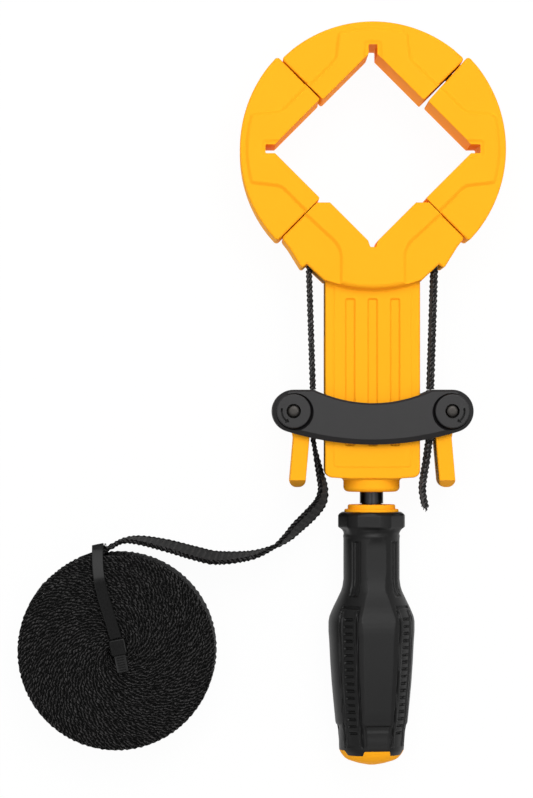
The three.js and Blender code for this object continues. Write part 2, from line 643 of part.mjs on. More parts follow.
// One ring of the grip: panels are slightly flat, and ribs are cut into the strips between them.
function gripRing(down, radius, rib) {
  const half = 180 / GRIP_SIDES - STRIP_HALF_ANGLE;
  const panel = THREE.MathUtils.smoothstep(down, NECK_END, GRIP_WIDEST);
  const drop = down > GRIP_STEP ? PANEL_STEP_DEPTH * (FINGER_END - down) / (FINGER_END - GRIP_STEP) : 0;
  const ring = [];
  for (let side = 0; side < GRIP_SIDES; side += 1) {
    const middle = GRIP_TURN + side * 360 / GRIP_SIDES;
    const place = (angle, depth) => {
      const turn = radians(middle + angle);
      const out = radius - depth;
      ring.push(new THREE.Vector3(out * Math.sin(turn), -down, MID + out * Math.cos(turn)));
    };
    for (let i = -2; i <= 2; i += 1) {
      const inside = Math.abs(i) < 2 ? drop : 0;
      place(i * half / 2, panel * PANEL_FLAT * (1 - (i / 2) ** 2) + inside);
    }
    [-0.5, 0, 0.5].forEach((share) => place(180 / GRIP_SIDES + share * STRIP_HALF_ANGLE, rib));
  }
  return ring;
}

// Prisms along the radius at the middle of each ribbed strip, for the grip's fingers.
function fingers(extra) {
  const shape = new THREE.Shape();
  const [wide, narrow] = [FINGER_WIDTH / 2 + extra, FINGER_END_WIDTH / 2 + extra];
  shape.moveTo(-wide, -TAB_TOP);
  shape.lineTo(-narrow, -FINGER_END - extra);
  shape.lineTo(narrow, -FINGER_END - extra);
  shape.lineTo(wide, -TAB_TOP);
  shape.lineTo(wide, -TAB_TOP + CUT);
  shape.lineTo(-wide, -TAB_TOP + CUT);
  return atStrips(prism(shape, CORE_RADIUS / 2, 2 * GRIP_END_RADIUS));
}

// Copies of a piece on the handle's front, turned to the middle of each ribbed strip.
function atStrips(piece) {
  let all = null;
  for (let side = 0; side < GRIP_SIDES; side += 1) {
    const turn = GRIP_TURN + (side + 0.5) * 360 / GRIP_SIDES;
    const copy = piece.rotate([0, turn, 0]).translate([0, 0, MID]);
    all = all ? all.add(copy) : copy;
  }
  return all;
}

// Black grip: flange, neck with four long recesses, ribbed swell and four fingers at the foot.
function handleGrip() {
  const flange = GRIP_TOP + FLANGE_LENGTH;
  const rings = [
    gripRing(GRIP_TOP, FLANGE_RADIUS - FLANGE_CHAMFER, 0),
    gripRing(GRIP_TOP + FLANGE_CHAMFER, FLANGE_RADIUS, 0),
    gripRing(flange, FLANGE_RADIUS, 0),
    gripRing(NECK_TOP, NECK_RADIUS, 0),
  ];
  const flareSteps = 6;
  for (let i = 0; i <= flareSteps; i += 1) {
    const down = THREE.MathUtils.lerp(NECK_END, GRIP_WIDEST, i / flareSteps);
    rings.push(gripRing(down, gripRadius(down), 0));
  }
  for (let i = 0; i < RIB_COUNT; i += 1) {
    const crest = RIB_START + i * RIB_PITCH;
    const valley = crest + RIB_PITCH / 2;
    rings.push(gripRing(crest, gripRadius(crest), 0));
    rings.push(gripRing(valley, gripRadius(valley), RIB_DEPTH));
  }
  const ribEnd = RIB_START + RIB_COUNT * RIB_PITCH;
  rings.push(gripRing(ribEnd, gripRadius(ribEnd), 0));
  rings.push(gripRing(FINGER_END, gripRadius(FINGER_END), 0));
  const bore = CORE_RADIUS + CLEARANCE;
  const below = turned([
    [0, -FINGER_END - CUT],
    [2 * GRIP_RADIUS, -FINGER_END - CUT],
    [2 * GRIP_RADIUS, -TAB_TOP],
    [0, -TAB_TOP],
  ]);
  const hollow = turned([
    [0, -FINGER_END - CUT],
    [bore, -FINGER_END - CUT],
    [bore, -GRIP_TOP + CUT],
    [0, -GRIP_TOP + CUT],
  ]);
  const half = RECESS_WIDTH / 2;
  const recess = block(-half, half, -RECESS_END, -RECESS_TOP, NECK_RADIUS - RECESS_DEPTH, 2 * GRIP_RADIUS);
  const round = solid(skinRings(rings)).subtract(hollow).subtract(below.subtract(fingers(0)));
  return onHandle(round.subtract(atStrips(recess)));
}

// Yellow domed end, with a plug inside the grip and a tab up between each pair of fingers.
function handleEndCap() {
  const steps = 5;
  const profile = [];
  for (let i = 0; i <= steps; i += 1) {
    const share = Math.sin(i / steps * Math.PI / 2);
    const radius = DOME_RADIUS * (1 - (1 - share) ** DOME_POWER) ** (1 / DOME_POWER);
    profile.push([radius, THREE.MathUtils.lerp(-HANDLE_END, -TAB_TOP, share)]);
  }
  profile.push([CORE_RADIUS, -TAB_TOP], [CORE_RADIUS, CAP_PLUG - TAB_TOP], [0, CAP_PLUG - TAB_TOP]);
  const core = turned([
    [0, -HANDLE_END],
    [CORE_RADIUS, -HANDLE_END],
    [CORE_RADIUS, CAP_PLUG - TAB_TOP],
    [0, CAP_PLUG - TAB_TOP],
  ]);
  return onHandle(turned(profile).subtract(fingers(CLEARANCE).subtract(core)));
}

// Crossbar plate seen from the front: round ends joined by two dipping edges.
function crossbarOutline() {
  const top = PIN_Y + PLATE_END_RADIUS;
  const slope = Math.atan(2 * PLATE_BOTTOM_SAG / PIN_X);
  const start = slope - Math.PI / 2;
  const endX = PIN_X + PLATE_END_RADIUS * Math.cos(start);
  const endY = PIN_Y + PLATE_END_RADIUS * Math.sin(start);
  const shape = new THREE.Shape();
  shape.moveTo(endX, endY);
  shape.absarc(PIN_X, PIN_Y, PLATE_END_RADIUS, start, Math.PI / 2, false);
  shape.lineTo(GRIP_X, top);
  shape.quadraticCurveTo(0, top - 2 * PLATE_TOP_SAG, -GRIP_X, top);
  shape.absarc(-PIN_X, PIN_Y, PLATE_END_RADIUS, Math.PI / 2, Math.PI - start, false);
  shape.quadraticCurveTo(0, endY - 2 * PLATE_BOTTOM_SAG, endX, endY);
  return shape;
}

function crossbarPlate() {
  const inner = MID + SHAFT_DEPTH / 2 + PLATE_CLEARANCE;
  const outer = inner + PLATE_THICKNESS;
  const wide = 2 * (PIN_X + PLATE_END_RADIUS);
  const low = inner - 2 * PLATE_BEVEL_DEPTH;
  let body = prism(crossbarOutline(), low, outer, PLATE_BEVEL_WIDTH, PLATE_BEVEL_DEPTH, 10);
  body = body.subtract(block(-wide, wide, PIN_Y - wide, PIN_Y + wide, low - CUT, inner));
  [-PIN_X, PIN_X].forEach((x) => {
    body = body.add(disc(x, PIN_Y, PAD_RADIUS, inner, outer + PAD_RISE));
    body = body.subtract(disc(x, PIN_Y, PIN_RADIUS + CLEARANCE, inner - CUT, outer + PAD_RISE + CUT));
  });
  return body;
}

function pivotPin(side) {
  const reach = SHAFT_DEPTH / 2 + PLATE_CLEARANCE + PLATE_THICKNESS + PAD_RISE - CLEARANCE;
  const outline = new THREE.Shape().absarc(side * PIN_X, PIN_Y, PIN_RADIUS, 0, 2 * Math.PI, false);
  return prism(outline, MID - reach, MID + reach, PIN_CHAMFER);
}

function nutBar() {
  const reach = ANVIL_FACE - NUT_SHY;
  const bar = block(-reach, reach, NUT_BOTTOM, NUT_TOP, MID - NUT_DEPTH / 2, MID + NUT_DEPTH / 2);
  return bar.subtract(turned([
    [0, NUT_BOTTOM - CUT],
    [SCREW_RADIUS + CLEARANCE, NUT_BOTTOM - CUT],
    [SCREW_RADIUS + CLEARANCE, NUT_TOP + CUT],
    [0, NUT_TOP + CUT],
  ], 24));
}

// Block between the plates that the band is squeezed against, with a mortise for the nut bar.
function anvil(side) {
  const half = SHAFT_DEPTH / 2 + PLATE_CLEARANCE;
  const slot = NUT_DEPTH / 2 + CLEARANCE;
  const [x0, x1] = [side * ANVIL_FACE, side * (ANVIL_FACE - ANVIL_THICKNESS)].sort((a, b) => a - b);
  const body = block(x0, x1, ANVIL_TOP - ANVIL_HEIGHT, ANVIL_TOP, MID - half, MID + half);
  return body.subtract(block(
    x0 - CUT, x1 + CUT, NUT_BOTTOM - CLEARANCE, NUT_TOP + CLEARANCE, MID - slot, MID + slot,
  ));
}

// Eccentric cam with a toothed nose towards the anvil, about the pin.
function camOutline(place) {
  const radius = CAM_REACH - CAM_LIFT;
  const points = [];
  const first = -CAM_TEETH * CAM_TOOTH_ANGLE / 2;
  for (let i = 0; i < CAM_TEETH; i += 1) {
    const angle = radians(first + i * CAM_TOOTH_ANGLE);
    const valley = radians(first + (i + 0.5) * CAM_TOOTH_ANGLE);
    points.push([CAM_LIFT + radius * Math.cos(angle), radius * Math.sin(angle)]);
    points.push([
      CAM_LIFT + (radius - CAM_TOOTH_DEPTH) * Math.cos(valley),
      (radius - CAM_TOOTH_DEPTH) * Math.sin(valley),
    ]);
  }
  const roundSteps = 16;
  for (let i = 0; i < roundSteps; i += 1) {
    const angle = radians(-first + i * (360 + 2 * first) / roundSteps);
    points.push([CAM_LIFT + radius * Math.cos(angle), radius * Math.sin(angle)]);
  }
  return new THREE.Shape(points.map(([x, y]) => place(x, y)));
}

// Arm that hangs from the cam, with a round end.
function armOutline(place) {
  const half = LEVER_WIDTH / 2;
  const lean = Math.tan(radians(LEVER_LEAN));
  const middle = (y) => LEVER_INSET + y * lean;
  const tipY = half - LEVER_LENGTH;
  const points = [[middle(-half) - half, -half], [middle(-half) + half, -half]];
  const roundSteps = 8;
  for (let i = 0; i <= roundSteps; i += 1) {
    const angle = -i / roundSteps * Math.PI;
    points.push([middle(tipY) + half * Math.cos(angle), tipY + half * Math.sin(angle)]);
  }
  return new THREE.Shape(points.map(([x, y]) => place(x, y)));
}

function camLever(side) {
  const half = SHAFT_DEPTH / 2 + PLATE_CLEARANCE - CLEARANCE;
  const place = (x, y) => new THREE.Vector2(side * (PIN_X - x), PIN_Y + y);
  const cam = prism(camOutline(place), MID - half, MID + half);
  const arm = prism(armOutline(place), MID - half, MID + half, LEVER_CHAMFER);
  return cam.add(arm).subtract(disc(side * PIN_X, PIN_Y, PIN_RADIUS + CLEARANCE, 0, JAW_DEPTH));
}

function strand(side) {
  return edgeStrip([
    new THREE.Vector2(side * MOUTH_X, STRAND_TOP - CLEARANCE),
    new THREE.Vector2(side * GRIP_X, CROSSBAR_TOP + CLEARANCE),
  ]);
}

// Strip along a hand-laid route of places, from between the pins, and of leans from upright in degrees.
function laidStrip(route, startZ, endZ, steps) {
  const points = route.map(([x, y]) => new THREE.Vector3(x, PIN_Y + y, 0));
  const place = new THREE.CatmullRomCurve3(points, false, 'centripetal');
  const lean = new THREE.SplineCurve(route.map(([, , degrees], i) => new THREE.Vector2(i, degrees)));
  const stations = [];
  for (let i = 0; i <= steps; i += 1) {
    const share = i / steps;
    const at = place.getPoint(share);
    const along = place.getTangent(share);
    const turn = radians(lean.getPoint(share).y);
    const sunk = THREE.MathUtils.smoothstep(share, SLOPE_START, SLOPE_END);
    at.z = THREE.MathUtils.lerp(startZ, endZ, sunk);
    stations.push({ at, across: new THREE.Vector3(0, 0, 1).applyAxisAngle(along, turn) });
  }
  return solid(ribbon(stations, BAND_WIDTH, BAND_THICKNESS));
}

// Centre line of the coil after a number of steps, winding in from where the free run meets it.
function coilPoint(step) {
  const turn = step / COIL_STEPS;
  const radius = COIL_RADIUS - COIL_PITCH * turn;
  const angle = radians(COIL_START) + 2 * Math.PI * turn;
  return new THREE.Vector3(
    COIL_X + radius * Math.cos(angle),
    COIL_Y + radius * Math.sin(angle),
    COIL_BASE + BAND_WIDTH / 2,
  );
}

function bandCoil() {
  const across = new THREE.Vector3(0, 0, 1);
  const stations = [];
  for (let i = 0; i <= COIL_LOOPS * COIL_STEPS; i += 1) stations.push({ at: coilPoint(i), across });
  return solid(ribbon(stations, BAND_WIDTH, BAND_THICKNESS));
}

// Least distance between neighbouring loops, measured from each corner to the sides of the next loop in.
function coilGap() {
  const last = (COIL_LOOPS - 1) * COIL_STEPS;
  let least = Infinity;
  for (let i = 1; i < last; i += 1) {
    for (let j = i + COIL_STEPS - 1; j <= i + COIL_STEPS; j += 1) {
      const side = new THREE.Line3(coilPoint(j), coilPoint(j + 1));
      const nearest = side.closestPointToPoint(coilPoint(i), true, new THREE.Vector3());
      least = Math.min(least, nearest.distanceTo(coilPoint(i)));
    }
  }
  return least - BAND_THICKNESS;
}

// Frame of the cable tie: outwards from the coil's centre, and across the tie.
function tiePlace(out, z) {
  const turn = radians(TIE_ANGLE);
  return new THREE.Vector3(COIL_X + out * Math.cos(turn), COIL_Y + out * Math.sin(turn), z);
}

// Tie strap: from the head over the coil, down its rim, back underneath and up through its middle.
function tieStrap() {
  const top = COIL_BASE + BAND_WIDTH + CLEARANCE + TIE_THICKNESS / 2;
  const bottom = COIL_BASE - CLEARANCE - TIE_THICKNESS / 2;
  const path = new THREE.Path();
  path.moveTo(TIE_HEAD / 2 + CLEARANCE, top);
  path.lineTo(TIE_REACH - TIE_BEND, top);
  path.absarc(TIE_REACH - TIE_BEND, top - TIE_BEND, TIE_BEND, Math.PI / 2, 0, true);
  path.absarc(TIE_REACH - TIE_BEND, bottom + TIE_BEND, TIE_BEND, 0, -Math.PI / 2, true);
  path.absarc(TIE_BEND, bottom + TIE_BEND, TIE_BEND, 1.5 * Math.PI, Math.PI, true);
  path.lineTo(0, top - TIE_THICKNESS / 2 - CLEARANCE);
  const turn = radians(TIE_ANGLE);
  const across = new THREE.Vector3(-Math.sin(turn), Math.cos(turn), 0);
  const stations = path.getPoints(3).map((p) => ({ at: tiePlace(p.x, p.y), across }));
  return solid(ribbon(stations, TIE_WIDTH, TIE_THICKNESS));
}

// Tie head with the cut end of the tie standing out of it.
function tieHead() {
  const base = COIL_BASE + BAND_WIDTH + CLEARANCE;
  const half = TIE_HEAD / 2;
  const low = base + (TIE_HEAD_HEIGHT - TIE_THICKNESS) / 2;
  const head = block(-half, half, -half, half, base, base + TIE_HEAD_HEIGHT);
  const end = block(-half - TIE_TAIL, 0, -TIE_WIDTH / 2, TIE_WIDTH / 2, low, low + TIE_THICKNESS);
  return head.add(end).rotate([0, 0, TIE_ANGLE]).translate([COIL_X, COIL_Y, 0]);
}

// Places (X, Y) and leans of the free run, from the crossbar to the coil.
const FREE_RUN = [
  [-GRIP_X, PLATE_END_RADIUS, 0], [-GRIP_X, -0.3, 0], [-GRIP_X, -9.3, 0], [-23.4, -14.3, 0],
  [-22.3, -20.3, 0], [-21.3, -26.3, 2], [-20.9, -31.8, 4], [-21.9, -37.1, 8], [-25, -41.9, 12],
  [-30.4, -47.6, 14], [-34.5, -51.8, 10], [-40, -55.7, 4], [-49.5, -59.1, -6], [-63, -60.1, -12],
  [-72, -58.3, -12], [-84.2, -55, -8], [-95, -52.9, -3], [-101.5, -53.1, 0], [-106.5, -55.2, 0],
  [-111, -57.4, 0],
];
// Places (X, Y) and leans of the cut tail.
const TAIL = [
  [GRIP_X, PLATE_END_RADIUS, 0], [GRIP_X, -0.3, 0], [GRIP_X, -9.3, 0], [23.2, -14.3, 0],
  [22.4, -20.3, 0], [21.4, -26.3, 0], [20.8, -32.3, 0], [22, -39.3, 0],
];

add('body_frame', bodyFrame(), YELLOW);
add('bearing_cap', bearingCap(), YELLOW);
add('thrust_washer', thrustWasher(), STEEL);
looseJaw('top', 0, BAND_REACH + CLEARANCE, BAND_REACH + CLEARANCE);
looseJaw('left', 90, -BAND_REACH, BAND_REACH + CLEARANCE);
looseJaw('right', -90, BAND_REACH + CLEARANCE, -BAND_REACH);
add('screw_spindle', screwSpindle(), BLACK_STEEL);
add('handle_core', handleCore(), YELLOW);
add('handle_grip', handleGrip(), BLACK_RUBBER);
add('handle_end_cap', handleEndCap(), YELLOW);
add('crossbar_front_plate', crossbarPlate(), BLACK_NYLON);
add('crossbar_rear_plate', crossbarPlate().rotate([0, 180, 0]).translate([0, 0, 2 * MID]), BLACK_NYLON);
add('nut_bar', nutBar(), STEEL);
for (const [name, side] of [['left', -1], ['right', 1]]) {
  add(`${name}_anvil`, anvil(side), BLACK_NYLON);
  add(`${name}_pivot_pin`, pivotPin(side), STEEL);
  add(`${name}_cam_lever`, camLever(side), YELLOW);
  add(`band_${name}_entry`, edgeStrip(entryPath(side, BAND_REACH, STRAND_TOP)), WEBBING);
  add(`band_${name}_strand`, strand(side), WEBBING);
}
add('band_tail', laidStrip(TAIL, MID, MID, 16), WEBBING);
add('band_free_run', laidStrip(FREE_RUN, MID, COIL_BASE + BAND_WIDTH / 2, 48), WEBBING);
add('band_coil', bandCoil(), WEBBING);
add('tie_strap', tieStrap(), TIE_NYLON);
add('tie_head', tieHead(), TIE_NYLON);
console.log(`band coil: least gap to itself ${coilGap().toFixed(2)} mm`);

export default clamp;
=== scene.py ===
"""Looks of a screw-tightened band clamp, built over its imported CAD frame.

Sizes are millimetres in the part's own frame: X right, Y from the handle to the ring of jaws, Z up
from the bench. Each finished mesh is scaled to metres when it is placed.
"""

from __future__ import annotations

import logging
import math
from dataclasses import dataclass
from enum import Enum
from functools import partial
from typing import Callable, Iterable, Sequence

import bmesh
import bpy
from bmesh.types import BMesh, BMFace, BMVert
from mathutils import Matrix, Vector, geometry, noise

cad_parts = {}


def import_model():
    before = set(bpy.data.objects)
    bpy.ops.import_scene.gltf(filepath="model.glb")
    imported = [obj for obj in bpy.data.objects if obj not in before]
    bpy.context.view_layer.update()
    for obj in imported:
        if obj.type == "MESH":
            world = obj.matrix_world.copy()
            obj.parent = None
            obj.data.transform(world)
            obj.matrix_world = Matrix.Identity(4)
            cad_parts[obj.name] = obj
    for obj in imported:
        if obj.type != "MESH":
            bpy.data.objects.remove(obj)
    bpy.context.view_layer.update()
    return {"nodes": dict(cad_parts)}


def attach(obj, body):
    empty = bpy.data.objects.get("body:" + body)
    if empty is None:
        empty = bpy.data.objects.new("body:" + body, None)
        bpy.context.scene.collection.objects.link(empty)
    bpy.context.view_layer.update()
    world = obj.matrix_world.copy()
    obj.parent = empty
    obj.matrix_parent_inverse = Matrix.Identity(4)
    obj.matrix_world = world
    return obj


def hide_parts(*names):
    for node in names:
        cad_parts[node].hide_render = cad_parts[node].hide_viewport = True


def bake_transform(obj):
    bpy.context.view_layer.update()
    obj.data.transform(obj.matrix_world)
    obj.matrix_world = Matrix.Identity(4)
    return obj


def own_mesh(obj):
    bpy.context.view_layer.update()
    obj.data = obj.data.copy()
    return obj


LOG = logging.getLogger("clamp")

MM = 0.001  # metres
MID = 18.0  # height of the screw's axis
DEPTH = 36.0  # thickness of the jaws
RING = Vector((0.0, 47.5, 0.0))  # centre of the ring of jaws
HALF = math.sqrt(0.5)  # cosine of 45 degrees
MERGE = 1e-4  # distance within which doubles are merged
DISC_SIDES = 64  # of a round slab

Rim = Sequence[tuple[float, float]]
Station = tuple[Vector, Vector]
Corner = tuple[float, float, float]


class Join(Enum):
    """How two solids are combined."""

    ADD = "UNION"
    CUT = "DIFFERENCE"
    KEEP = "INTERSECT"


class Side(Enum):
    """Left and right of the clamp, as signs of X."""

    LEFT = -1
    RIGHT = 1


# Shapes


def smooth(value: float, low: float, high: float) -> float:
    """Soft step from 0 at low to 1 at high."""
    share = min(max((value - low) / (high - low), 0.0), 1.0)
    return share * share * (3.0 - 2.0 * share)


def fade(value: float, low: float, high: float) -> float:
    """Soft step from 1 at low to 0 at high."""
    return 1.0 - smooth(value, low, high)


def plateau(value: float, edges: Sequence[float]) -> float:
    """Soft step up from 0 to 1 between the first two edges, and down again between the last two."""
    return smooth(value, *edges[:2]) * fade(value, *edges[2:])


def along(knots: Sequence[tuple[float, float]], place: float) -> float:
    """Value at a place on a polyline of (place, value) knots, held at its ends."""
    for (a, left), (b, right) in zip(knots, knots[1:]):
        if place <= b:
            return left + (right - left) * min(max((place - a) / (b - a), 0.0), 1.0)
    return knots[-1][1]


def arc(centre: Sequence[float], radius: float, start: float, end: float, steps: int) -> list[Vector]:
    """Points on a flat arc.

    Args:
        centre: X and Y of the arc's centre.
        radius: Its radius.
        start: Angle of the first point, in degrees.
        end: Angle of the last point, in degrees.
        steps: Number of chords.

    Returns:
        Flat points from start to end.
    """
    turns = [math.radians(start + (end - start) * i / steps) for i in range(steps + 1)]
    return [Vector((centre[0] + radius * math.cos(t), centre[1] + radius * math.sin(t))) for t in turns]


def filleted(corners: Sequence[Corner], steps: int = 5) -> list[Vector]:
    """Closed outline whose corners are rounded by true arcs.

    Args:
        corners: X, Y and fillet radius of each corner.
        steps: Chords of each fillet.

    Returns:
        Flat points of the outline.
    """
    straight = 1.56  # half angle, in radians, from which a corner needs no fillet
    most = 0.49  # largest share of a leg that a fillet takes
    outline: list[Vector] = []
    for i, (x, y, radius) in enumerate(corners):
        here = Vector((x, y))
        before = Vector(corners[i - 1][:2]) - here
        after = Vector(corners[(i + 1) % len(corners)][:2]) - here
        half = before.angle(after) / 2
        if radius <= 0.0 or half > straight:
            outline.append(here)
            continue
        reach = min(radius / math.tan(half), most * before.length, most * after.length)
        middle = (before.normalized() + after.normalized()).normalized()
        centre = here + middle * (reach / math.cos(half))
        spokes = [here + leg.normalized() * reach - centre for leg in (before, after)]
        first, last = (math.atan2(spoke.y, spoke.x) for spoke in spokes)
        sweep = (last - first + math.pi) % math.tau - math.pi
        outline += arc(centre, spokes[0].length, math.degrees(first), math.degrees(first + sweep), steps)
    return outline


def plain(points: Iterable[Vector]) -> list[Corner]:
    """Corners without a fillet."""
    return [(p.x, p.y, 0.0) for p in points]


def both_halves(right: Sequence[Corner], left: Sequence[Corner] | None = None) -> list[Corner]:
    """Corners of the right half and then of the left one, which is given mirrored and may be the same."""
    return [*right, *[(-x, y, r) for x, y, r in reversed(left or right) if abs(x) > 1e-6]]


def quarter(width: float, rise: float | None = None, steps: int = 3) -> list[tuple[float, float]]:
    """Inward and upward steps of a rounded rim."""
    turns = [math.pi / 2 * i / steps for i in range(steps + 1)]
    height = width if rise is None else rise
    return [
        (width * (math.cos(a) - math.cos(b)), height * (math.sin(b) - math.sin(a)))
        for a, b in zip(turns, turns[1:])
    ]


def slope(width: float, rise: float, steps: int = 6) -> list[tuple[float, float]]:
    """Inward and upward steps of a soft S-shaped slope."""
    return [(width / steps, rise * (smooth(i + 1, 0, steps) - smooth(i, 0, steps))) for i in range(steps)]


def dipping(x: float, y: float, dip: float, points: int) -> list[Vector]:
    """Curve from X to -X at a height, which dips in between."""
    spots = [Vector(spot) for spot in ((x, y), (x / 3, y - dip), (-x / 3, y - dip), (-x, y))]
    return geometry.interpolate_bezier(*spots, points)


def slab(
    outline: Sequence[Vector], low: float, high: float, front: Rim = (), back: Rim | None = None
) -> BMesh:
    """Straight solid of an outline in the XY plane.

    Args:
        outline: Flat points of the outline.
        low: Z of its back.
        high: Z of its front.
        front: Inward and upward steps of the front rim.
        back: Steps of the back rim, or None for the same as the front.

    Returns:
        A closed mesh.
    """
    rims = (front if back is None else back, front)
    lower, upper = (sum(up for _, up in rim) for rim in rims)
    bm = bmesh.new()
    floor = bm.faces.new([bm.verts.new((p.x, p.y, low + lower)) for p in outline])
    raised = bmesh.ops.extrude_face_region(bm, geom=[floor])["geom"]
    lifted = [item for item in raised if isinstance(item, BMVert)]
    bmesh.ops.translate(bm, verts=lifted, vec=(0.0, 0.0, high - upper - low - lower))
    bmesh.ops.recalc_face_normals(bm, faces=bm.faces[:])
    ceiling = next(item for item in raised if isinstance(item, BMFace))
    for face, rim in zip((floor, ceiling), rims):
        for inward, upward in rim:
            bmesh.ops.inset_region(bm, faces=[face], thickness=inward, depth=upward, use_even_offset=True)
    return bm


def box(low: Sequence[float], high: Sequence[float]) -> BMesh:
    """Plain block between two corners, for a cut."""
    xs, ys = (low[0], high[0], high[0], low[0]), (low[1], low[1], high[1], high[1])
    return slab([Vector(spot) for spot in zip(xs, ys)], low[2], high[2])


def disc(centre: Sequence[float], radius: float, low: float, high: float, rim: Rim = ()) -> BMesh:
    """Round slab on a vertical axis."""
    return slab(arc(centre, radius, 0.0, 360.0, DISC_SIDES)[:-1], low, high, rim)


def lathe(profile: Sequence[tuple[float, float]], sides: int = 96) -> BMesh:
    """Solid of revolution about the screw's axis.

    Args:
        profile: Radius and Y of each point of a closed outline.
        sides: Steps of the full turn.

    Returns:
        The spun mesh.
    """
    bm = bmesh.new()
    verts = [bm.verts.new((radius, y, MID)) for radius, y in profile]
    edges = [bm.edges.new(pair) for pair in zip(verts, [*verts[1:], verts[0]])]
    bmesh.ops.spin(
        bm, geom=verts + edges, cent=(0.0, 0.0, MID), axis=(0.0, 1.0, 0.0), angle=math.tau, steps=sides,
        use_merge=True,
    )
    bmesh.ops.remove_doubles(bm, verts=bm.verts[:], dist=MERGE)
    bmesh.ops.recalc_face_normals(bm, faces=bm.faces[:])
    return bm


def joined(*parts: BMesh) -> BMesh:
    """One mesh that holds the given closed shells."""
    whole = bmesh.new()
    for part in parts:
        mesh = bpy.data.meshes.new("shell")
        part.to_mesh(mesh)
        part.free()
        whole.from_mesh(mesh)
        bpy.data.meshes.remove(mesh)
    return whole


def stand_in(bm: BMesh) -> bpy.types.Object:
    """Linked object that holds a mesh for a boolean."""
    mesh = bpy.data.meshes.new("stand_in")
    bm.to_mesh(mesh)
    bm.free()
    obj = bpy.data.objects.new("stand_in", mesh)
    bpy.context.scene.collection.objects.link(obj)
    return obj


def combine(base: BMesh, *tools: tuple[Join, BMesh]) -> BMesh:
    """Adds solids to a solid, or cuts them from it, in the given order.

    Args:
        base: The solid to start from.
        tools: How each further solid is combined, and the solid.

    Returns:
        The resulting mesh.
    """
    target = stand_in(base)
    cutters = []
    for how, tool in tools:
        cutters.append(stand_in(tool))
        step = target.modifiers.new(how.name, "BOOLEAN")
        step.operation = how.value
        step.solver = "MANIFOLD"
        step.object = cutters[-1]
    result = bmesh.new()
    result.from_object(target, bpy.context.evaluated_depsgraph_get())
    for obj in (target, *cutters):
        mesh = obj.data
        bpy.data.objects.remove(obj)
        bpy.data.meshes.remove(mesh)
    bmesh.ops.remove_doubles(result, verts=result.verts[:], dist=MERGE)
    return result


def turned(bm: BMesh, degrees: float, shift: Vector) -> BMesh:
    """The mesh itself, turned about Z and then moved."""
    spin = Matrix.Rotation(math.radians(degrees), 4, "Z")
    bmesh.ops.transform(bm, matrix=Matrix.Translation(shift) @ spin, verts=bm.verts[:])
    return bm


def flipped(bm: BMesh) -> BMesh:
    """The mesh itself, turned half round about the screw's axis."""
    half_turn = Matrix.Rotation(math.pi, 3, "Y")
    bmesh.ops.rotate(bm, cent=(0.0, 0.0, MID), matrix=half_turn, verts=bm.verts[:])
    return bm


def ribbon(
    stations: Sequence[Station],
    section: Sequence[tuple[float, float]],
    relief: Callable[[float, float, float], tuple[float, float]] | None = None,
) -> BMesh:
    """Closed strip along a route, with the distance along it and round it as its UV in millimetres.

    Args:
        stations: Place of each cross-section and the direction of the strip's width there.
        section: Points round the cross-section, across the width and through the thickness.
        relief: Moves a point of the section, given the distance along the route and the point.

    Returns:
        The strip, closed at both ends.
    """
    rows, cols = len(stations), len(section)
    places = [place for place, _ in stations]
    ways = [places[min(i + 1, rows - 1)] - places[max(i - 1, 0)] for i in range(rows)]
    run = [0.0]
    for a, b in zip(places, places[1:]):
        run.append(run[-1] + (b - a).length)
    girth = [0.0]
    for a, b in zip(section, [*section[1:], section[0]]):
        girth.append(girth[-1] + math.dist(a, b))
    bm = bmesh.new()
    layer = bm.loops.layers.uv.new("band")
    bmesh.ops.create_grid(bm, x_segments=rows - 1, y_segments=cols, size=0.5)
    spots: dict[BMVert, tuple[float, float]] = {}
    for vert in bm.verts:
        i = round((vert.co.x + 0.5) * (rows - 1))
        j = round((vert.co.y + 0.5) * cols)
        forward = ways[i].normalized()
        side = (stations[i][1] - forward * stations[i][1].dot(forward)).normalized()
        out, through = section[j % cols]
        if relief:
            out, through = relief(run[i], out, through)
        vert.co = places[i] + side * out + forward.cross(side) * through
        spots[vert] = (run[i], girth[j])
    for face in bm.faces:
        for loop in face.loops:
            loop[layer].uv = spots[loop.vert]
    bmesh.ops.remove_doubles(bm, verts=bm.verts[:], dist=MERGE / 10)
    bmesh.ops.holes_fill(bm, edges=[edge for edge in bm.edges if edge.is_boundary], sides=0)
    bmesh.ops.recalc_face_normals(bm, faces=bm.faces[:])
    return bm


def routed(places: Sequence[Corner], spacing: float) -> list[Vector]:
    """Even points on a smooth curve through listed places.

    Args:
        places: X, Y and lean of each place.
        spacing: Distance between the points.

    Returns:
        Points whose third value is the lean.
    """
    points = 24  # on each span between two places
    knots = [Vector(place) for place in places]
    fine: list[Vector] = []
    for i, (a, b) in enumerate(zip(knots, knots[1:])):
        before, after = knots[max(i - 1, 0)], knots[min(i + 2, len(knots) - 1)]
        fine += geometry.interpolate_bezier(a, a + (b - before) / 6, b - (after - a) / 6, b, points)[:-1]
    fine.append(knots[-1])
    even = [fine[0]]
    left = spacing
    for a, b in zip(fine, fine[1:]):
        step = (b.xy - a.xy).length
        walked = left
        while walked <= step:
            even.append(a.lerp(b, walked / step))
            walked += spacing
        left = walked - step
    return even


# Finishes


def srgb(code: str) -> tuple[float, float, float, float]:
    """Linear colour of a hexadecimal sRGB code."""
    parts = [int(code[i : i + 2], 16) / 255 for i in (0, 2, 4)]
    linear = [p / 12.92 if p <= 0.04045 else ((p + 0.055) / 1.055) ** 2.4 for p in parts]
    return (*linear, 1.0)


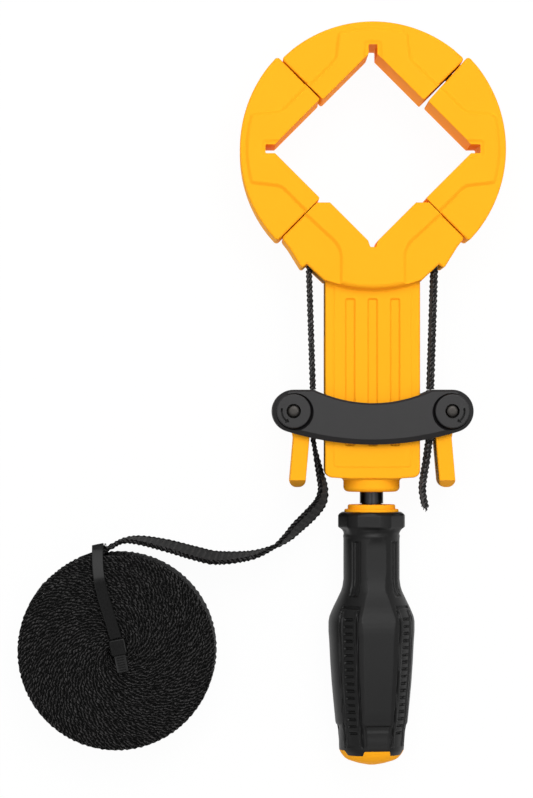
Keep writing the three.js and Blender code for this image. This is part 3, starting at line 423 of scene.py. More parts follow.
def add_node(
    tree: bpy.types.NodeTree, kind: str, inputs: dict | None = None, out: int | str = 0, **settings
) -> bpy.types.NodeSocket | None:
    """Adds one shader node.

    Args:
        tree: Node tree to add it to.
        kind: Its type.
        inputs: Values or sockets for its inputs, by name or number.
        out: Name or number of the output that is wanted.
        settings: Values for its own properties.

    Returns:
        That output, or None where the node has none.
    """
    node = tree.nodes.new(kind)
    for name, value in settings.items():
        setattr(node, name, value)
    for key, value in (inputs or {}).items():
        if isinstance(value, bpy.types.NodeSocket):
            tree.links.new(value, node.inputs[key])
        else:
            node.inputs[key].default_value = value
    return node.outputs[out] if node.outputs else None


@dataclass(frozen=True)
class Finish:
    """A material of the clamp, with what all of them share."""

    name: str  # name of the real material
    slot: str  # name of its material slot
    colour: str  # sRGB code of its colour
    shade: str  # sRGB code that the colour drifts towards in patches
    patch: float  # size of the patches, in millimetres
    grain: float  # size of the surface grain, in millimetres
    relief: float  # height of the grain, in millimetres
    rough: float  # roughness
    gloss: float = 0.5  # specular level
    metal: bool = False  # whether it is bare metal

    def material(self) -> bpy.types.Material:
        """The material, made on first use."""
        made = bpy.data.materials.get(self.name)
        if made is None:
            made = bpy.data.materials.new(self.name)
            made.use_nodes = True
            made.node_tree.nodes.clear()
            self.wire(made.node_tree)
        return made

    def wire(self, tree: bpy.types.NodeTree) -> None:
        """Wires patches, grain and roughness to one shader."""
        node = partial(add_node, tree)
        where = node("ShaderNodeTexCoord", out="Object")
        patches = node("ShaderNodeTexNoise", self.cloud(where, self.patch, 3.0))
        grain = node("ShaderNodeTexNoise", self.cloud(where, self.grain, 2.0))
        colours = {0: patches, 6: srgb(self.colour), 7: srgb(self.shade)}
        colour = node("ShaderNodeMix", colours, 2, data_type="RGBA")
        rough = node("ShaderNodeMapRange", self.dulled(grain, 0.06))
        self.shade_with(tree, colour, rough, grain)

    def cloud(self, where: bpy.types.NodeSocket, size: float, detail: float) -> dict:
        """Inputs of a noise whose features are about a size in millimetres."""
        return {"Vector": where, "Scale": 1.0 / (size * MM), "Detail": detail, "Roughness": 0.55}

    def dulled(self, value: bpy.types.NodeSocket, spread: float) -> dict:
        """Inputs of a range that varies the roughness either way by a spread."""
        return {"Value": value, "To Min": self.rough - spread, "To Max": self.rough + spread}

    def shade_with(
        self,
        tree: bpy.types.NodeTree,
        colour: bpy.types.NodeSocket,
        rough: bpy.types.NodeSocket,
        height: bpy.types.NodeSocket,
    ) -> None:
        """Ends the tree in a shader.

        Args:
            tree: Node tree.
            colour: Socket of the base colour.
            rough: Socket of the roughness.
            height: Socket of the surface height, from 0 to 1.
        """
        surface = {"Height": height, "Distance": self.relief * MM, "Strength": 1.0}
        bump = add_node(tree, "ShaderNodeBump", surface)
        inputs = {
            "Base Color": colour,
            "Roughness": rough,
            "Normal": bump,
            "Metallic": 1.0 if self.metal else 0.0,
            "Specular IOR Level": self.gloss,
        }
        shader = add_node(tree, "ShaderNodeBsdfPrincipled", inputs)
        add_node(tree, "ShaderNodeOutputMaterial", {"Surface": shader})


@dataclass(frozen=True)
class Woven(Finish):
    """Black polyester webbing."""

    light: str = "424141"  # sRGB code of the painted highlight on the yarns' crowns
    rib: float = 2.5  # pitch of the crosswise ribs on the faces, in millimetres
    sway: float = 1.1  # how far the ribs lie out of step, in millimetres
    stroke: float = 1.85  # pitch of the slanting yarns on the selvedges, in millimetres
    stray: float = 3.0  # how far the yarns lie out of step, in millimetres
    girth: float = 53.0  # distance round the band, in millimetres
    lip: tuple[float, float] = (0.955, 0.985)  # cosines between which a face turns into a selvedge
    crown: float = 3.2  # power that narrows the painted highlight to the yarns' crowns
    uneven: tuple[float, float] = (0.26, 0.62)  # range of the noise that paints the highlight on some yarns more than others
    face_highlight_share: float = 0.45  # share of the painted highlight on the faces

    def wire(self, tree: bpy.types.NodeTree) -> None:
        """Ribs on the faces and slanting yarns on the selvedges, both from the band's own UV, with painted
        highlights on their crowns.
        """
        node = partial(add_node, tree)
        uv = node("ShaderNodeUVMap", uv_map="band")
        run, around = (node("ShaderNodeSeparateXYZ", {0: uv}, i) for i in (0, 1))
        where = node("ShaderNodeTexCoord", out="Object")
        loose = node("ShaderNodeTexNoise", self.cloud(where, self.patch, 2.0))
        fuzz = node("ShaderNodeTexNoise", self.cloud(where, self.grain, 2.0))
        drift = node("ShaderNodeMath", {0: loose, 1: self.sway, 2: run}, operation="MULTIPLY_ADD")
        loop = node("ShaderNodeMath", {0: loose, 1: self.stray, 2: run}, operation="MULTIPLY_ADD")
        slant = node("ShaderNodeMath", {0: around, 1: loop}, operation="ADD")
        waves = []
        for distance, pitch in ((drift, self.rib), (slant, self.stroke)):
            turn = node("ShaderNodeMath", {0: distance, 1: math.tau / pitch}, operation="MULTIPLY")
            waves.append(node("ShaderNodeMath", {0: turn}, operation="SINE"))
        faces = 2.0 * math.tau / self.girth
        turn = node("ShaderNodeMath", {0: around, 1: faces}, operation="MULTIPLY")
        facing = node("ShaderNodeMath", {0: turn}, operation="COSINE")
        lip = {"Value": facing, "From Min": self.lip[0], "From Max": self.lip[1]}
        edge = node("ShaderNodeMapRange", lip)
        weave = node("ShaderNodeMix", {0: edge, 2: waves[0], 3: waves[1]})
        height = node("ShaderNodeMath", {0: weave, 1: 0.5, 2: 0.5}, operation="MULTIPLY_ADD")
        # Painted highlight: the colour is drawn towards the pale yarn colour on the weave's crowns, stronger
        # on the selvedges and patchy from yarn to yarn.
        crown = node("ShaderNodeMath", {0: height, 1: self.crown}, operation="POWER")
        patchy = {"Value": loose, "From Min": self.uneven[0], "From Max": self.uneven[1]}
        uneven = node("ShaderNodeMapRange", patchy)
        lift = {0: edge, 1: 1.0 - self.face_highlight_share, 2: self.face_highlight_share}
        bright = node("ShaderNodeMath", lift, operation="MULTIPLY_ADD")
        share = node("ShaderNodeMath", {0: uneven, 1: bright}, operation="MULTIPLY")
        painted_highlight = node("ShaderNodeMath", {0: crown, 1: share}, operation="MULTIPLY")
        colours = {0: painted_highlight, 6: srgb(self.colour), 7: srgb(self.light)}
        colour = node("ShaderNodeMix", colours, 2, data_type="RGBA", clamp_factor=True)
        rough = node("ShaderNodeMapRange", self.dulled(fuzz, 0.1))
        self.shade_with(tree, colour, rough, height)


# Each grain is drawn several times coarser than the real one, which is too fine to show.

# Satin moulded plastic: a fine spark-eroded grain breaks the highlights, and the colour is a little
# uneven from the flow in the mould.
YELLOW = Finish(
    "yellow_moulded_nylon", "yellow_plastic", "FCAB20", "FAA61D",
    patch=22.0, grain=1.6, relief=0.002, rough=0.55, gloss=0.018,
)
# Glass-filled nylon: grey-black and dry, with a coarser grain than the yellow pieces.
NYLON = Finish(
    "black_filled_nylon", "black_nylon", "181718", "1D1C1D",
    patch=6.0, grain=0.7, relief=0.008, rough=0.42, gloss=0.32,
)
# Soft moulded rubber: nearly black, and its highlights are wide and dull.
RUBBER = Finish(
    "black_grip_rubber", "grip_rubber", "121212", "161616",
    patch=9.0, grain=0.8, relief=0.006, rough=0.44, gloss=0.22,
)
# Black-oxide steel: a dark metal skin that still shows sharp strip highlights.
OXIDE = Finish(
    "black_oxide_steel", "black_steel", "3A3A3C", "2A2A2B",
    patch=5.0, grain=0.5, relief=0.004, rough=0.3, metal=True,
)
# Turned mild steel: grey, slightly dulled by oil.
STEEL = Finish(
    "turned_mild_steel", "bright_steel", "403E3C", "353331",
    patch=4.0, grain=0.4, relief=0.006, rough=0.42, metal=True,
)
# Woven polyester: dull black yarns, with paler strokes painted as highlights where they turn over at the
# selvedge.
WEBBING = Woven(
    "woven_polyester_webbing", "webbing", "050505", "050505",
    patch=1.9, grain=0.5, relief=0.2, rough=0.75, gloss=0.08,
)
# The same webbing painted paler, as painted light, where it is pulled tight: its selvedge yarns stand
# rounder, and their painted highlights are paler too.
PAINTED_LIGHT_WEBBING = Woven(
    "polyester_webbing_painted_light", "webbing", "1C1C1C", "1C1C1C",
    patch=1.3, grain=0.5, relief=0.2, rough=0.7, gloss=0.12, light="646262", stroke=2.0,
)
# Injection-moulded nylon tie: smooth and glossy black.
TIE = Finish(
    "glossy_tie_nylon", "tie_nylon", "050505", "070707",
    patch=8.0, grain=1.2, relief=0.003, rough=0.16, gloss=0.2,
)


def place(
    bm: BMesh, name: str, finish: Finish, body: str | None, *nodes: str, crease: float = 32.0
) -> bpy.types.Object:
    """Turns a mesh in millimetres into a finished piece.

    Args:
        bm: The mesh, which is used up.
        name: Name of the piece.
        finish: Its material.
        body: CAD body that it rides on, or None for a piece that rides on none.
        nodes: CAD nodes that it stands for.
        crease: Angle, in degrees, from which an edge stays sharp.

    Returns:
        The piece.
    """
    bmesh.ops.scale(bm, vec=(MM, MM, MM), verts=bm.verts[:])
    mesh = bpy.data.meshes.new(name)
    bm.to_mesh(mesh)
    bm.free()
    mesh.materials.append(finish.material())
    mesh.shade_smooth()
    mesh.set_sharp_from_angle(angle=math.radians(crease))
    obj = bpy.data.objects.new(name, mesh)
    bpy.context.scene.collection.objects.link(obj)
    normals = obj.modifiers.new("even_normals", "WEIGHTED_NORMAL")
    normals.keep_sharp = True
    if body:
        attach(obj, body)
    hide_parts(*nodes)
    LOG.info("%s: %d faces of %s on %s", name, len(mesh.polygons), finish.name, body)
    return obj


# Sub-assemblies


@dataclass
class Studio:
    """Camera, floor and lamps."""

    centre: tuple[float, float] = (-43.1, -52.8)  # X and Y in the middle of the picture
    axis: tuple[float, float] = (-54.0, -60.0)  # X and Y below the camera, off the middle of the picture
    height: float = 1450.0  # camera above the jaws' front
    tall: float = 322.6  # height of the picture at the jaws' front
    sensor: float = 24.0  # size of the camera's sensor along the picture's long side
    softbox: float = 2.6  # strength of the softbox overhead
    toward: tuple[float, float, float] = (0.06, 0.19, 0.98)  # direction of the softbox's middle
    edge: tuple[float, float] = (0.84, 0.945)  # cosines where it starts and is full
    opening: tuple[float, float] = (0.975, 0.992)  # cosines where the camera's opening starts and is dark
    dark: float = 0.04  # share of the softbox's light that is left in the opening
    ambient: float = 0.5  # strength of the light from all round
    glow: float = 0.8  # share of the bench's white that is its own light, for what it lights
    glow_seen: float = 0.16  # how much larger that share is for the camera

    # Name, spot from the picture's middle and size, both in metres, and watts
    LAMPS = (
        ("key", (0.1, 0.34, 0.62), (0.4, 0.4), 1.5),
        ("left_strip", (-0.62, -0.05, 1.1), (0.10, 1.0), 0.8),
        ("right_strip", (0.82, -0.05, 0.95), (0.10, 1.0), 0.7),
    )

    def build(self) -> None:
        """Adds the camera, the floor and all lamps."""
        self.camera()
        self.floor()
        self.world()
        for lamp in self.LAMPS:
            self.lamp(*lamp)
        bpy.context.scene.view_settings.view_transform = "Standard"

    def camera(self) -> None:
        """Looks straight down, with the picture's upper side towards the ring."""
        data = bpy.data.cameras.new("camera")
        data.sensor_width = self.sensor
        data.lens = self.sensor * self.height / self.tall
        data.clip_end = 10.0  # metres
        data.shift_x, data.shift_y = ((c - a) / self.tall for c, a in zip(self.centre, self.axis))
        camera = bpy.data.objects.new("camera", data)
        camera.location = Vector((*self.axis, DEPTH + self.height)) * MM
        bpy.context.scene.collection.objects.link(camera)
        bpy.context.scene.camera = camera

    def floor(self) -> None:
        """White bench that keeps a trace of the shadow."""
        half, sunk = 3.0, 0.0002  # metres
        bm = bmesh.new()
        bmesh.ops.create_grid(bm, x_segments=2, y_segments=2, size=half)
        mesh = bpy.data.meshes.new("bench")
        bm.to_mesh(mesh)
        bm.free()
        bench = bpy.data.objects.new("bench", mesh)
        bench.location.z = -sunk
        bpy.context.scene.collection.objects.link(bench)
        material = bpy.data.materials.new("white_bench")
        material.use_nodes = True
        material.node_tree.nodes.clear()
        node = partial(add_node, material.node_tree)
        camera_ray = node("ShaderNodeLightPath", out="Is Camera Ray")
        glow = {0: camera_ray, 1: self.glow_seen, 2: self.glow}
        share = node("ShaderNodeMath", glow, operation="MULTIPLY_ADD")
        matt = node("ShaderNodeBsdfDiffuse", {"Color": (0.9, 0.9, 0.9, 1.0)})
        white = node("ShaderNodeEmission", {"Color": (1.0, 1.0, 1.0, 1.0), "Strength": 1.0})
        mix = node("ShaderNodeMixShader", {0: share, 1: matt, 2: white})
        node("ShaderNodeOutputMaterial", {"Surface": mix})
        mesh.materials.append(material)

    def world(self) -> None:
        """Softbox overhead with a dark opening for the camera, and faint light from all round."""
        world = bpy.data.worlds.new("light_tent")
        world.use_nodes = True
        world.node_tree.nodes.clear()
        node = partial(add_node, world.node_tree)
        where = node("ShaderNodeTexCoord", out="Object")
        toward = {0: where, 1: self.toward}
        facing = node("ShaderNodeVectorMath", toward, "Value", operation="DOT_PRODUCT")
        height = node("ShaderNodeSeparateXYZ", {0: where}, 2)
        levels = []
        for value, (start, end), low, high in (
            (facing, self.edge, 0.0, self.softbox), (height, self.opening, 1.0, self.dark)
        ):
            ends = {"Value": value, "From Min": start, "From Max": end, "To Min": low, "To Max": high}
            levels.append(node("ShaderNodeMapRange", ends, interpolation_type="SMOOTHSTEP"))
        light = {0: levels[0], 1: levels[1], 2: self.ambient}
        level = node("ShaderNodeMath", light, operation="MULTIPLY_ADD")
        seen = node("ShaderNodeLightPath", out="Is Camera Ray")
        strength = node("ShaderNodeMix", {0: seen, 2: level, 3: 1.0})
        tent = {"Color": (1.0, 1.0, 1.0, 1.0), "Strength": strength}
        node("ShaderNodeOutputWorld", {"Surface": node("ShaderNodeBackground", tent)})
        bpy.context.scene.world = world

    def lamp(
        self, name: str, spot: tuple[float, float, float], size: tuple[float, float], watts: float
    ) -> None:
        """Adds an area lamp that faces the middle of the picture.

        Args:
            name: Its name.
            spot: Its place from the picture's middle, in metres.
            size: Its sides, in metres.
            watts: Its power.
        """
        data = bpy.data.lights.new(name, "AREA")
        data.shape = "RECTANGLE"
        data.size, data.size_y = size
        data.energy = watts
        lamp = bpy.data.objects.new(name, data)
        lamp.location = Vector(spot) + Vector((*self.centre, 0.0)) * MM
        aim = Vector((*self.centre, MID)) * MM - lamp.location
        lamp.rotation_euler = aim.to_track_quat("-Z", "Y").to_euler()
        bpy.context.scene.collection.objects.link(lamp)


@dataclass
class Band:
    """The webbing band, from the jaws to the coil."""

    width: float = 25.4  # width of the webbing
    thick: float = 1.1  # its thickness
    slack: float = 0.5  # room round it in a jaw's slot
    shoulder: float = 0.9  # distance from its edge where the flat face ends
    lip: float = 0.35  # distance from its edge where the selvedge is at its thickest
    loop: float = 2.0  # pitch of the yarn loops along its selvedges
    swing: float = 0.31  # how far the loops swing out of the middle
    tuck: float = 0.28  # how far the loops draw in the edge
    rib: float = 2.5  # pitch of the crosswise ribs on its faces
    rib_rise: float = 0.06  # height of the ribs
    inset: float = 44.5  # distance from the ring's centre where it crosses a gap
    mouth_x: float = 25.6  # X where it leaves the fixed jaw
    grip_x: float = 24.0  # X where a cam holds it
    reach: float = 14.0  # length that a side jaw's band reaches into the next jaw
    coil_radius: float = 40.0  # radius of the outermost turn
    coil_pitch: float = 1.235  # distance between turns
    coil_turns: float = 29.8  # number of turns
    coil_from: float = 112.0  # angle where the free run meets the coil, in degrees
    coil_mid: float = 14.6  # height of the coiled band's middle
    outer_rib: float = 2.7  # pitch of the ribs on the coil's outermost turn
    outer_rise: float = 0.14  # height of these ribs
    spread: float = 0.6  # how far that turn spreads at the bench
    outer_run: tuple[float, float] = (240.0, 420.0)  # where along the coil both fade out
    seed: int = 1795797120  # of the noise that curls the threads at the cut end

    COIL = Vector((-103.9, -155.6, 0.0))
    UP = Vector((0.0, 0.0, 1.0))
    FREE_RUN = (
        (-24, -49, 0), (-24, -58, 0), (-24, -67, 0), (-23.4, -72, 1), (-22.2, -78, 3), (-20.9, -84, 5),
        (-19.9, -89.5, 7), (-20.9, -94.8, 10), (-24.6, -99.6, 11), (-30.4, -105.3, 10), (-34.5, -109.5, 7),
        (-40, -113.4, 2), (-49.5, -116.8, -3), (-63, -117.8, -7), (-72, -116, -7.5), (-84.2, -112.7, -6),
        (-95, -110.6, -3), (-101.5, -110.8, 0), (-106.5, -113.2, 0), (-111, -115.7, 0),
    )
    TAIL = (
        (24, -49, 0), (24, -58, 0), (24, -67, 0), (23.2, -72, 0), (22.4, -78, 0), (21.4, -84, 0),
        (20.8, -90, 0), (22, -97, 0),
    )

    def section(self, edge: float) -> list[tuple[float, float]]:
        """Points round the webbing, whose selvedges are an edge thick."""
        out, half = self.width / 2, self.thick / 2
        flat, lip = out - self.shoulder, out - self.lip
        face = [(-flat, half), (-out / 3, half), (out / 3, half), (flat, half)]
        return [
            (-out, 0.0), (-lip, edge / 2), *face, (lip, edge / 2), (out, 0.0), (lip, -edge / 2),
            *[(x, -y) for x, y in reversed(face)], (-lip, -edge / 2),
        ]

    def looped(self, run: float, out: float, through: float) -> tuple[float, float]:
        """Swings the selvedges from side to side and raises faint crosswise ribs on the faces.

        Args:
            run: Distance along the band.
            out: Place across it.
            through: Place through its thickness.

        Returns:
            The new places across and through.
        """
        turn = math.tau * run / self.loop + 2.6 * noise.noise(Vector((run * 0.21, 3.0, 1.0)))
        lip = smooth(abs(out), self.width / 2 - 0.6, self.width / 2 - 0.3)
        sign = math.copysign(1.0, out)
        through += lip * self.swing * math.sin(turn) * (1.0 if abs(through) < 0.1 else 0.6)
        rib = self.rib_rise * math.sin(math.tau * run / self.rib) * (1.0 - lip)
        out -= sign * lip * self.tuck * (1.0 + math.sin(turn + 0.6))
        return out, through + math.copysign(rib, through)

    def pressed(self, run: float, out: float, through: float) -> tuple[float, float]:
        """The same in the coil, whose outermost turn is ribbed and spreads a little towards the bench.

        Args:
            run: Distance along the coil.
            out: Place across the band.
            through: Place through its thickness.

        Returns:
            The new places across and through.
        """
        outer = fade(run, *self.outer_run)
        turn = math.tau * run / self.outer_rib + 3.0 * noise.noise(Vector((run * 0.17, 5.0, 2.0)))
        rib = self.outer_rise * math.sin(turn) if through > 0.0 else 0.0
        spread = self.spread * (0.5 - out / self.width)
        out, through = self.looped(run, out, through)
        return out, through + outer * (rib + spread)

    def strip(self, stations: Sequence[Station], edge: float) -> BMesh:
        """Webbing along a route of stations, with selvedges of an edge's thickness."""
        return ribbon(stations, self.section(edge), self.looped)

    def wound_strip(self, stations: Sequence[Station]) -> BMesh:
        """Webbing of the coil, as thick as the pitch, because its turns press on each other."""
        out, half = self.width / 2, self.coil_pitch / 2 + 0.02
        flat, lip = out - 0.45, out - 0.12
        edge = [(flat, half), (lip, half / 2), (out, 0.0), (lip, -half / 2), (flat, -half)]
        under = [(-x, y) for x, y in reversed(edge)]
        return ribbon(stations, [*under[2:], *edge, *under[:2]], self.pressed)

    def on_edge(self, path: Sequence[Vector], spacing: float = 0.5) -> list[Station]:
        """Even stations of a band that stands on edge at the clamp's middle."""
        return [(Vector((p.x, p.y, MID)), self.UP) for p in routed(plain(path), spacing)]

    def tunnel(self, path: Sequence[Vector]) -> BMesh:
        """Cutter for the slot that a path of band runs in."""
        out, half = self.width / 2 + self.slack, self.thick / 2 + self.slack
        corners = [(-out, -half), (out, -half), (out, half), (-out, half)]
        return ribbon([(Vector((p.x, p.y, MID)), self.UP) for p in path], corners)

    def gap_point(self, inside: float) -> Vector:
        """Point on the line that the band crosses a jaw's right gap by."""
        return Vector(((self.inset - inside) * HALF, (self.inset + inside) * HALF))

    def jaw_path(self, right: float, left: float) -> list[Vector]:
        """Band's centre line in a loose jaw that points to +Y, about the ring's centre.

        Args:
            right: Length of the end left out inside the right gap, or minus the length beyond it.
            left: The same at the left gap.

        Returns:
            Points from right to left.
        """
        straight = self.reach + 0.5
        end = self.gap_point(left)
        bend = arc((0.0, 2.0 * straight * HALF), self.inset - straight, 45.0, 135.0, 10)
        return [self.gap_point(right), *bend, Vector((-end.x, end.y))]

    def entry_path(self, side: Side, inside: float, bottom: float) -> list[Vector]:
        """Band's centre line in the fixed jaw, from the side jaw down to the mouth."""
        start = self.gap_point(-inside)
        bend = 6.0
        corner = self.mouth_x - 2.0 * self.inset * HALF
        tangent = bend * math.tan(math.pi / 8)
        curve = arc((self.mouth_x + bend, corner - tangent), bend, 135.0, 180.0, 6)
        path = [Vector((start.x, -start.y)), *curve, Vector((self.mouth_x, bottom - RING.y))]
        return [Vector((side.value * p.x, p.y + RING.y)) for p in path]

    def laid(self, route: Sequence[Corner], start: float, end: float, spacing: float) -> list[Station]:
        """Stations of a run laid through listed places, which sinks from one height to another."""
        even = routed(route, spacing)
        stations = []
        for i, p in enumerate(even):
            share = i / (len(even) - 1)
            ahead = even[min(i + 1, len(even) - 1)].xy - even[max(i - 1, 0)].xy
            lean = Matrix.Rotation(math.radians(p.z), 3, ahead.to_3d())
            z = start + (end - start) * smooth(share, 0.2, 0.9)
            stations.append((Vector((p.x, p.y, z)), lean @ self.UP))
        return stations

    def coil_stations(self, start: float, end: float, spacing: float) -> list[Station]:
        """Stations of the coil between two numbers of turns, winding in.

        Args:
            start: Turns from the free run to the first station.
            end: Turns to the last one.
            spacing: Distance between stations.

        Returns:
            The stations, with a little unevenness from turn to turn.
        """
        stations = []
        turn = start
        while turn < end:
            radius = self.coil_radius - self.coil_pitch * turn
            wander = noise.noise(Vector((turn * 3.1, 4.2, 0.3)))
            lift = 0.35 * noise.noise(Vector((turn * 0.8, 0.0, 7.0)))
            settled = smooth(turn, 0.1, 0.6)
            angle = math.radians(self.coil_from) + math.tau * turn
            reach = radius + 0.05 * wander * settled
            spot = self.COIL + Vector((reach * math.cos(angle), reach * math.sin(angle), 0.0))
            spot.z = self.coil_mid + lift * settled
            stations.append((spot, self.UP))
            turn += spacing / (math.tau * max(radius, 4.0))
        return stations

    def build(self) -> None:
        """Makes every length of the band."""
        self.in_jaws()
        for side in Side:
            self.strand(side)
        self.tail()
        self.spare()

    def in_jaws(self) -> None:
        """Lengths of band inside the jaws."""
        hidden, out = self.reach + 0.3, -self.reach
        for name, turn, right, left in (
            ("top", 0.0, hidden, hidden), ("left", 90.0, out, hidden), ("right", -90.0, hidden, out)
        ):
            strip = turned(self.strip(self.on_edge(self.jaw_path(right, left)), 1.3), turn, RING)
            place(strip, f"webbing_in_{name}_jaw", WEBBING, f"{name}_jaw", f"band_in_{name}_jaw")
        for side in Side:
            name = side.name.lower()
            strip = self.strip(self.on_edge(self.entry_path(side, self.reach, 0.5)), 1.3)
            place(strip, f"webbing_{name}_entry", WEBBING, "body", f"band_{name}_entry")

    def strand(self, side: Side) -> None:
        """Strand from a mouth to the crossbar; in the real clamp it shortens as the crossbar climbs."""
        name = side.name.lower()
        top, foot = 0.4, -48.8
        path = [Vector((side.value * self.mouth_x, top)), Vector((side.value * self.grip_x, foot))]
        strip = self.strip(self.on_edge(path, 0.3), 1.9)
        # The strand's webbing is painted paler than the rest, as painted light on its edge-on selvedges.
        piece = place(strip, f"webbing_{name}_strand", PAINTED_LIGHT_WEBBING, "body", f"band_{name}_strand")
        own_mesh(piece)

    def tail(self) -> None:
        """Cut end below the crossbar, with a fringe of loose threads."""
        threads, half = 22, 0.11
        square = [(half, half), (-half, half), (-half, -half), (half, -half)]
        stations = self.laid(self.TAIL, MID, MID, 0.3)
        shells = [self.strip(stations, 1.8)]
        end, _ = stations[-1]
        way = (end - stations[-4][0]).normalized()
        noise.seed_set(self.seed)  # without it the threads would differ from run to run
        for i in range(threads):
            across = (i / (threads - 1) - 0.5) * (self.width - 0.6)
            stray = noise.noise_vector(Vector((i * 1.7, 2.0, 5.0)))
            reach = way * (1.6 + 2.2 * abs(stray.x))
            curl = Vector((1.6 * stray.y, 0.0, 0.9 * stray.z))
            root = end - way + self.UP * across
            places = [root + reach * t + curl * t * t for t in (0.0, 0.25, 0.5, 0.75, 1.0)]
            shells.append(ribbon([(spot, Vector((1.0, 0.0, 0.0))) for spot in places], square))
        # The cut end is painted paler than the rest of the webbing, as painted light.
        place(joined(*shells), "webbing_cut_tail", PAINTED_LIGHT_WEBBING, "crossbar", "band_tail")

    def spare(self) -> None:
        """Free run to the coil, and the coil itself."""
        run = self.laid(self.FREE_RUN, MID, self.coil_mid, 0.35)
        lead = self.coil_stations(0.004, 0.075, 0.35)
        stations = run[:-1] + lead
        free = place(self.strip(stations, 1.8), "webbing_free_run", WEBBING, None, "band_free_run")
        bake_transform(free)
        wound = self.coil_stations(0.0752, self.coil_turns, 0.48)
        coil = place(self.wound_strip(wound), "webbing_coil", WEBBING, "body", "band_coil")


@dataclass(frozen=True)
class JawEnd:
    """One end face of a loose jaw."""

    short: float = 0.15  # length left off at the end
    flare: float = 0.008  # further retreat for each millimetre towards the ring's inside

    def at(self, distance: float, radius: float, shy: float = 0.0) -> tuple[float, float]:
        """Point of a right end face at a distance from the jaw's centre."""
        away = self.short + self.flare * (radius - distance) + shy
        return (distance - away) * HALF, (distance + away) * HALF


@dataclass
class Jaw:
    """A loose corner jaw, which points to +Y about its centre until it is turned."""

    band: Band  # the band, for its slot
    name: str  # side of the ring
    turn: float  # angle that it is turned by, in degrees
    shift: float  # how far its centre stands above the ring's
    right: JawEnd  # its right end face
    left: JawEnd  # its left end face
    radius: float = 53.9  # outer radius
    v: float = 29.3  # distance from its centre to the clamping faces
    strip: float = 37.9  # distance to the foot of the raised strip along them
    notch_end: float = 43.5  # distance to the end of the notch where they meet
    notch: float = 1.8  # half width of the notch
    rise: float = 1.2  # height of the raised pattern
    slope: float = 1.9  # width of its slopes
    dip: float = 0.6  # depth of the recess round the notch
    hidden: float = 33.0  # distance to the lower level's inner edge, inside the raised pattern
    lean: float = 0.0  # how much further its right end face draws back at the back

    def lower_half(self, face: JawEnd) -> list[Corner]:
        """Half of the lower level's outline, whose inner edge is hidden in the raised pattern."""
        crown = arc((0.0, 0.0), self.radius, 52.0, 90.0, 14)
        inner, outer = (face.at(distance, self.radius, 0.03) for distance in (self.hidden, self.radius))
        return [(0.0, self.hidden / HALF, 0.0), (*inner, 0.0), (*outer, 1.4), *plain(crown)]

    def full_half(self, face: JawEnd) -> list[Corner]:
        """Half of the whole outline, with the notch and the clamping faces."""
        within = self.radius - 1.0
        crown = arc((0.0, 0.0), within, 52.0, 90.0, 8)
        return [
            (self.notch, self.notch_end, 0.5),
            (self.notch, self.v / HALF - self.notch, 0.5),
            (*face.at(self.v, self.radius), 0.8),
            (*face.at(within, self.radius), 0.0),
            *plain(crown),
        ]

    def raised_half(self) -> list[Corner]:
        """Half of the raised pattern's foot, which runs on beyond the clamping faces and the ends."""
        top = self.radius - 2.0
        crown = arc((0.0, 0.0), top, 78.5, 90.0, 5)
        over = JawEnd(-3.0, 0.0)
        return [
            (0.0, 26.0, 0.0),
            (*over.at(16.0, top), 0.0),
            (*over.at(self.strip, top), 0.0),
            (15.9, 37.6, 5.0),
            (14.6, top - 2.05, 2.4),
            *plain(crown),
        ]

    def border(self) -> list[Vector]:
        """Foot of the shallow recess round the notch."""
        out, end, start = self.notch + 2.3, self.notch_end + 2.0, 24.0
        return filleted([(-out, start, 0.0), (out, start, 0.0), (out, end, 2.2), (-out, end, 2.2)])

    def build(self) -> None:
        """Makes the moulding and turns it to its place."""
        past, beyond = 1.0, -2.0  # how far cutters run on over a face, and over a jaw's ends
        full = filleted(both_halves(self.full_half(self.right), self.full_half(self.left)))
        lower = filleted(both_halves(self.lower_half(self.right), self.lower_half(self.left)))
        raised = filleted(both_halves(self.raised_half()))
        hollow = slope(self.slope, self.dip)
        jaw = combine(
            slab(full, -0.01, DEPTH + 0.01, quarter(0.4)),
            (Join.KEEP, slab(raised, 0.0, DEPTH, slope(self.slope, self.rise))),
            (Join.ADD, slab(lower, self.rise, DEPTH - self.rise, quarter(0.9))),
            (Join.CUT, slab(self.border(), DEPTH - self.dip, DEPTH + past, (), hollow)),
            (Join.CUT, slab(self.border(), -past, self.dip, hollow, ())),
        )
        if self.lean:
            jaw = combine(jaw, (Join.CUT, self.wedge()))
        turned(jaw, self.turn, RING + Vector((0.0, self.shift, 0.0)))
        tunnel = turned(self.band.tunnel(self.band.jaw_path(beyond, beyond)), self.turn, RING)
        jaw = combine(jaw, (Join.CUT, tunnel))
        place(jaw, f"{self.name}_jaw_moulding", YELLOW, f"{self.name}_jaw", f"{self.name}_jaw")

    def wedge(self) -> BMesh:
        """Cutter that leans the right end face back from its front edge."""
        face = -self.right.short
        block = box((20.0, -4.0, -8.0), (60.0, face, DEPTH + 8.0))
        tilt = Matrix.Rotation(math.atan(self.lean / DEPTH), 3, "X")
        bmesh.ops.rotate(block, cent=(0.0, face, DEPTH), matrix=tilt, verts=block.verts[:])
        return turned(block, 45.0, Vector())


def build_ring(band: Band) -> None:
    """Makes the three loose jaws: the side ones stand a little high, and the upper right gap is open.

    Args:
        band: The band that runs through them.
    """
    high = 0.95
    up, down = 0.15 + high * HALF, 1.65 - high * HALF
    Jaw(
        band, "top", 0.0, 0.0, JawEnd(0.05, 0.0), JawEnd(), radius=52.6, v=29.0, notch_end=43.2, lean=0.35
    ).build()
    Jaw(band, "left", 90.0, high, JawEnd(up), JawEnd(down, 0.0)).build()
    Jaw(band, "right", -90.0, high, JawEnd(down, 0.0), JawEnd(up - 0.12, 0.06)).build()


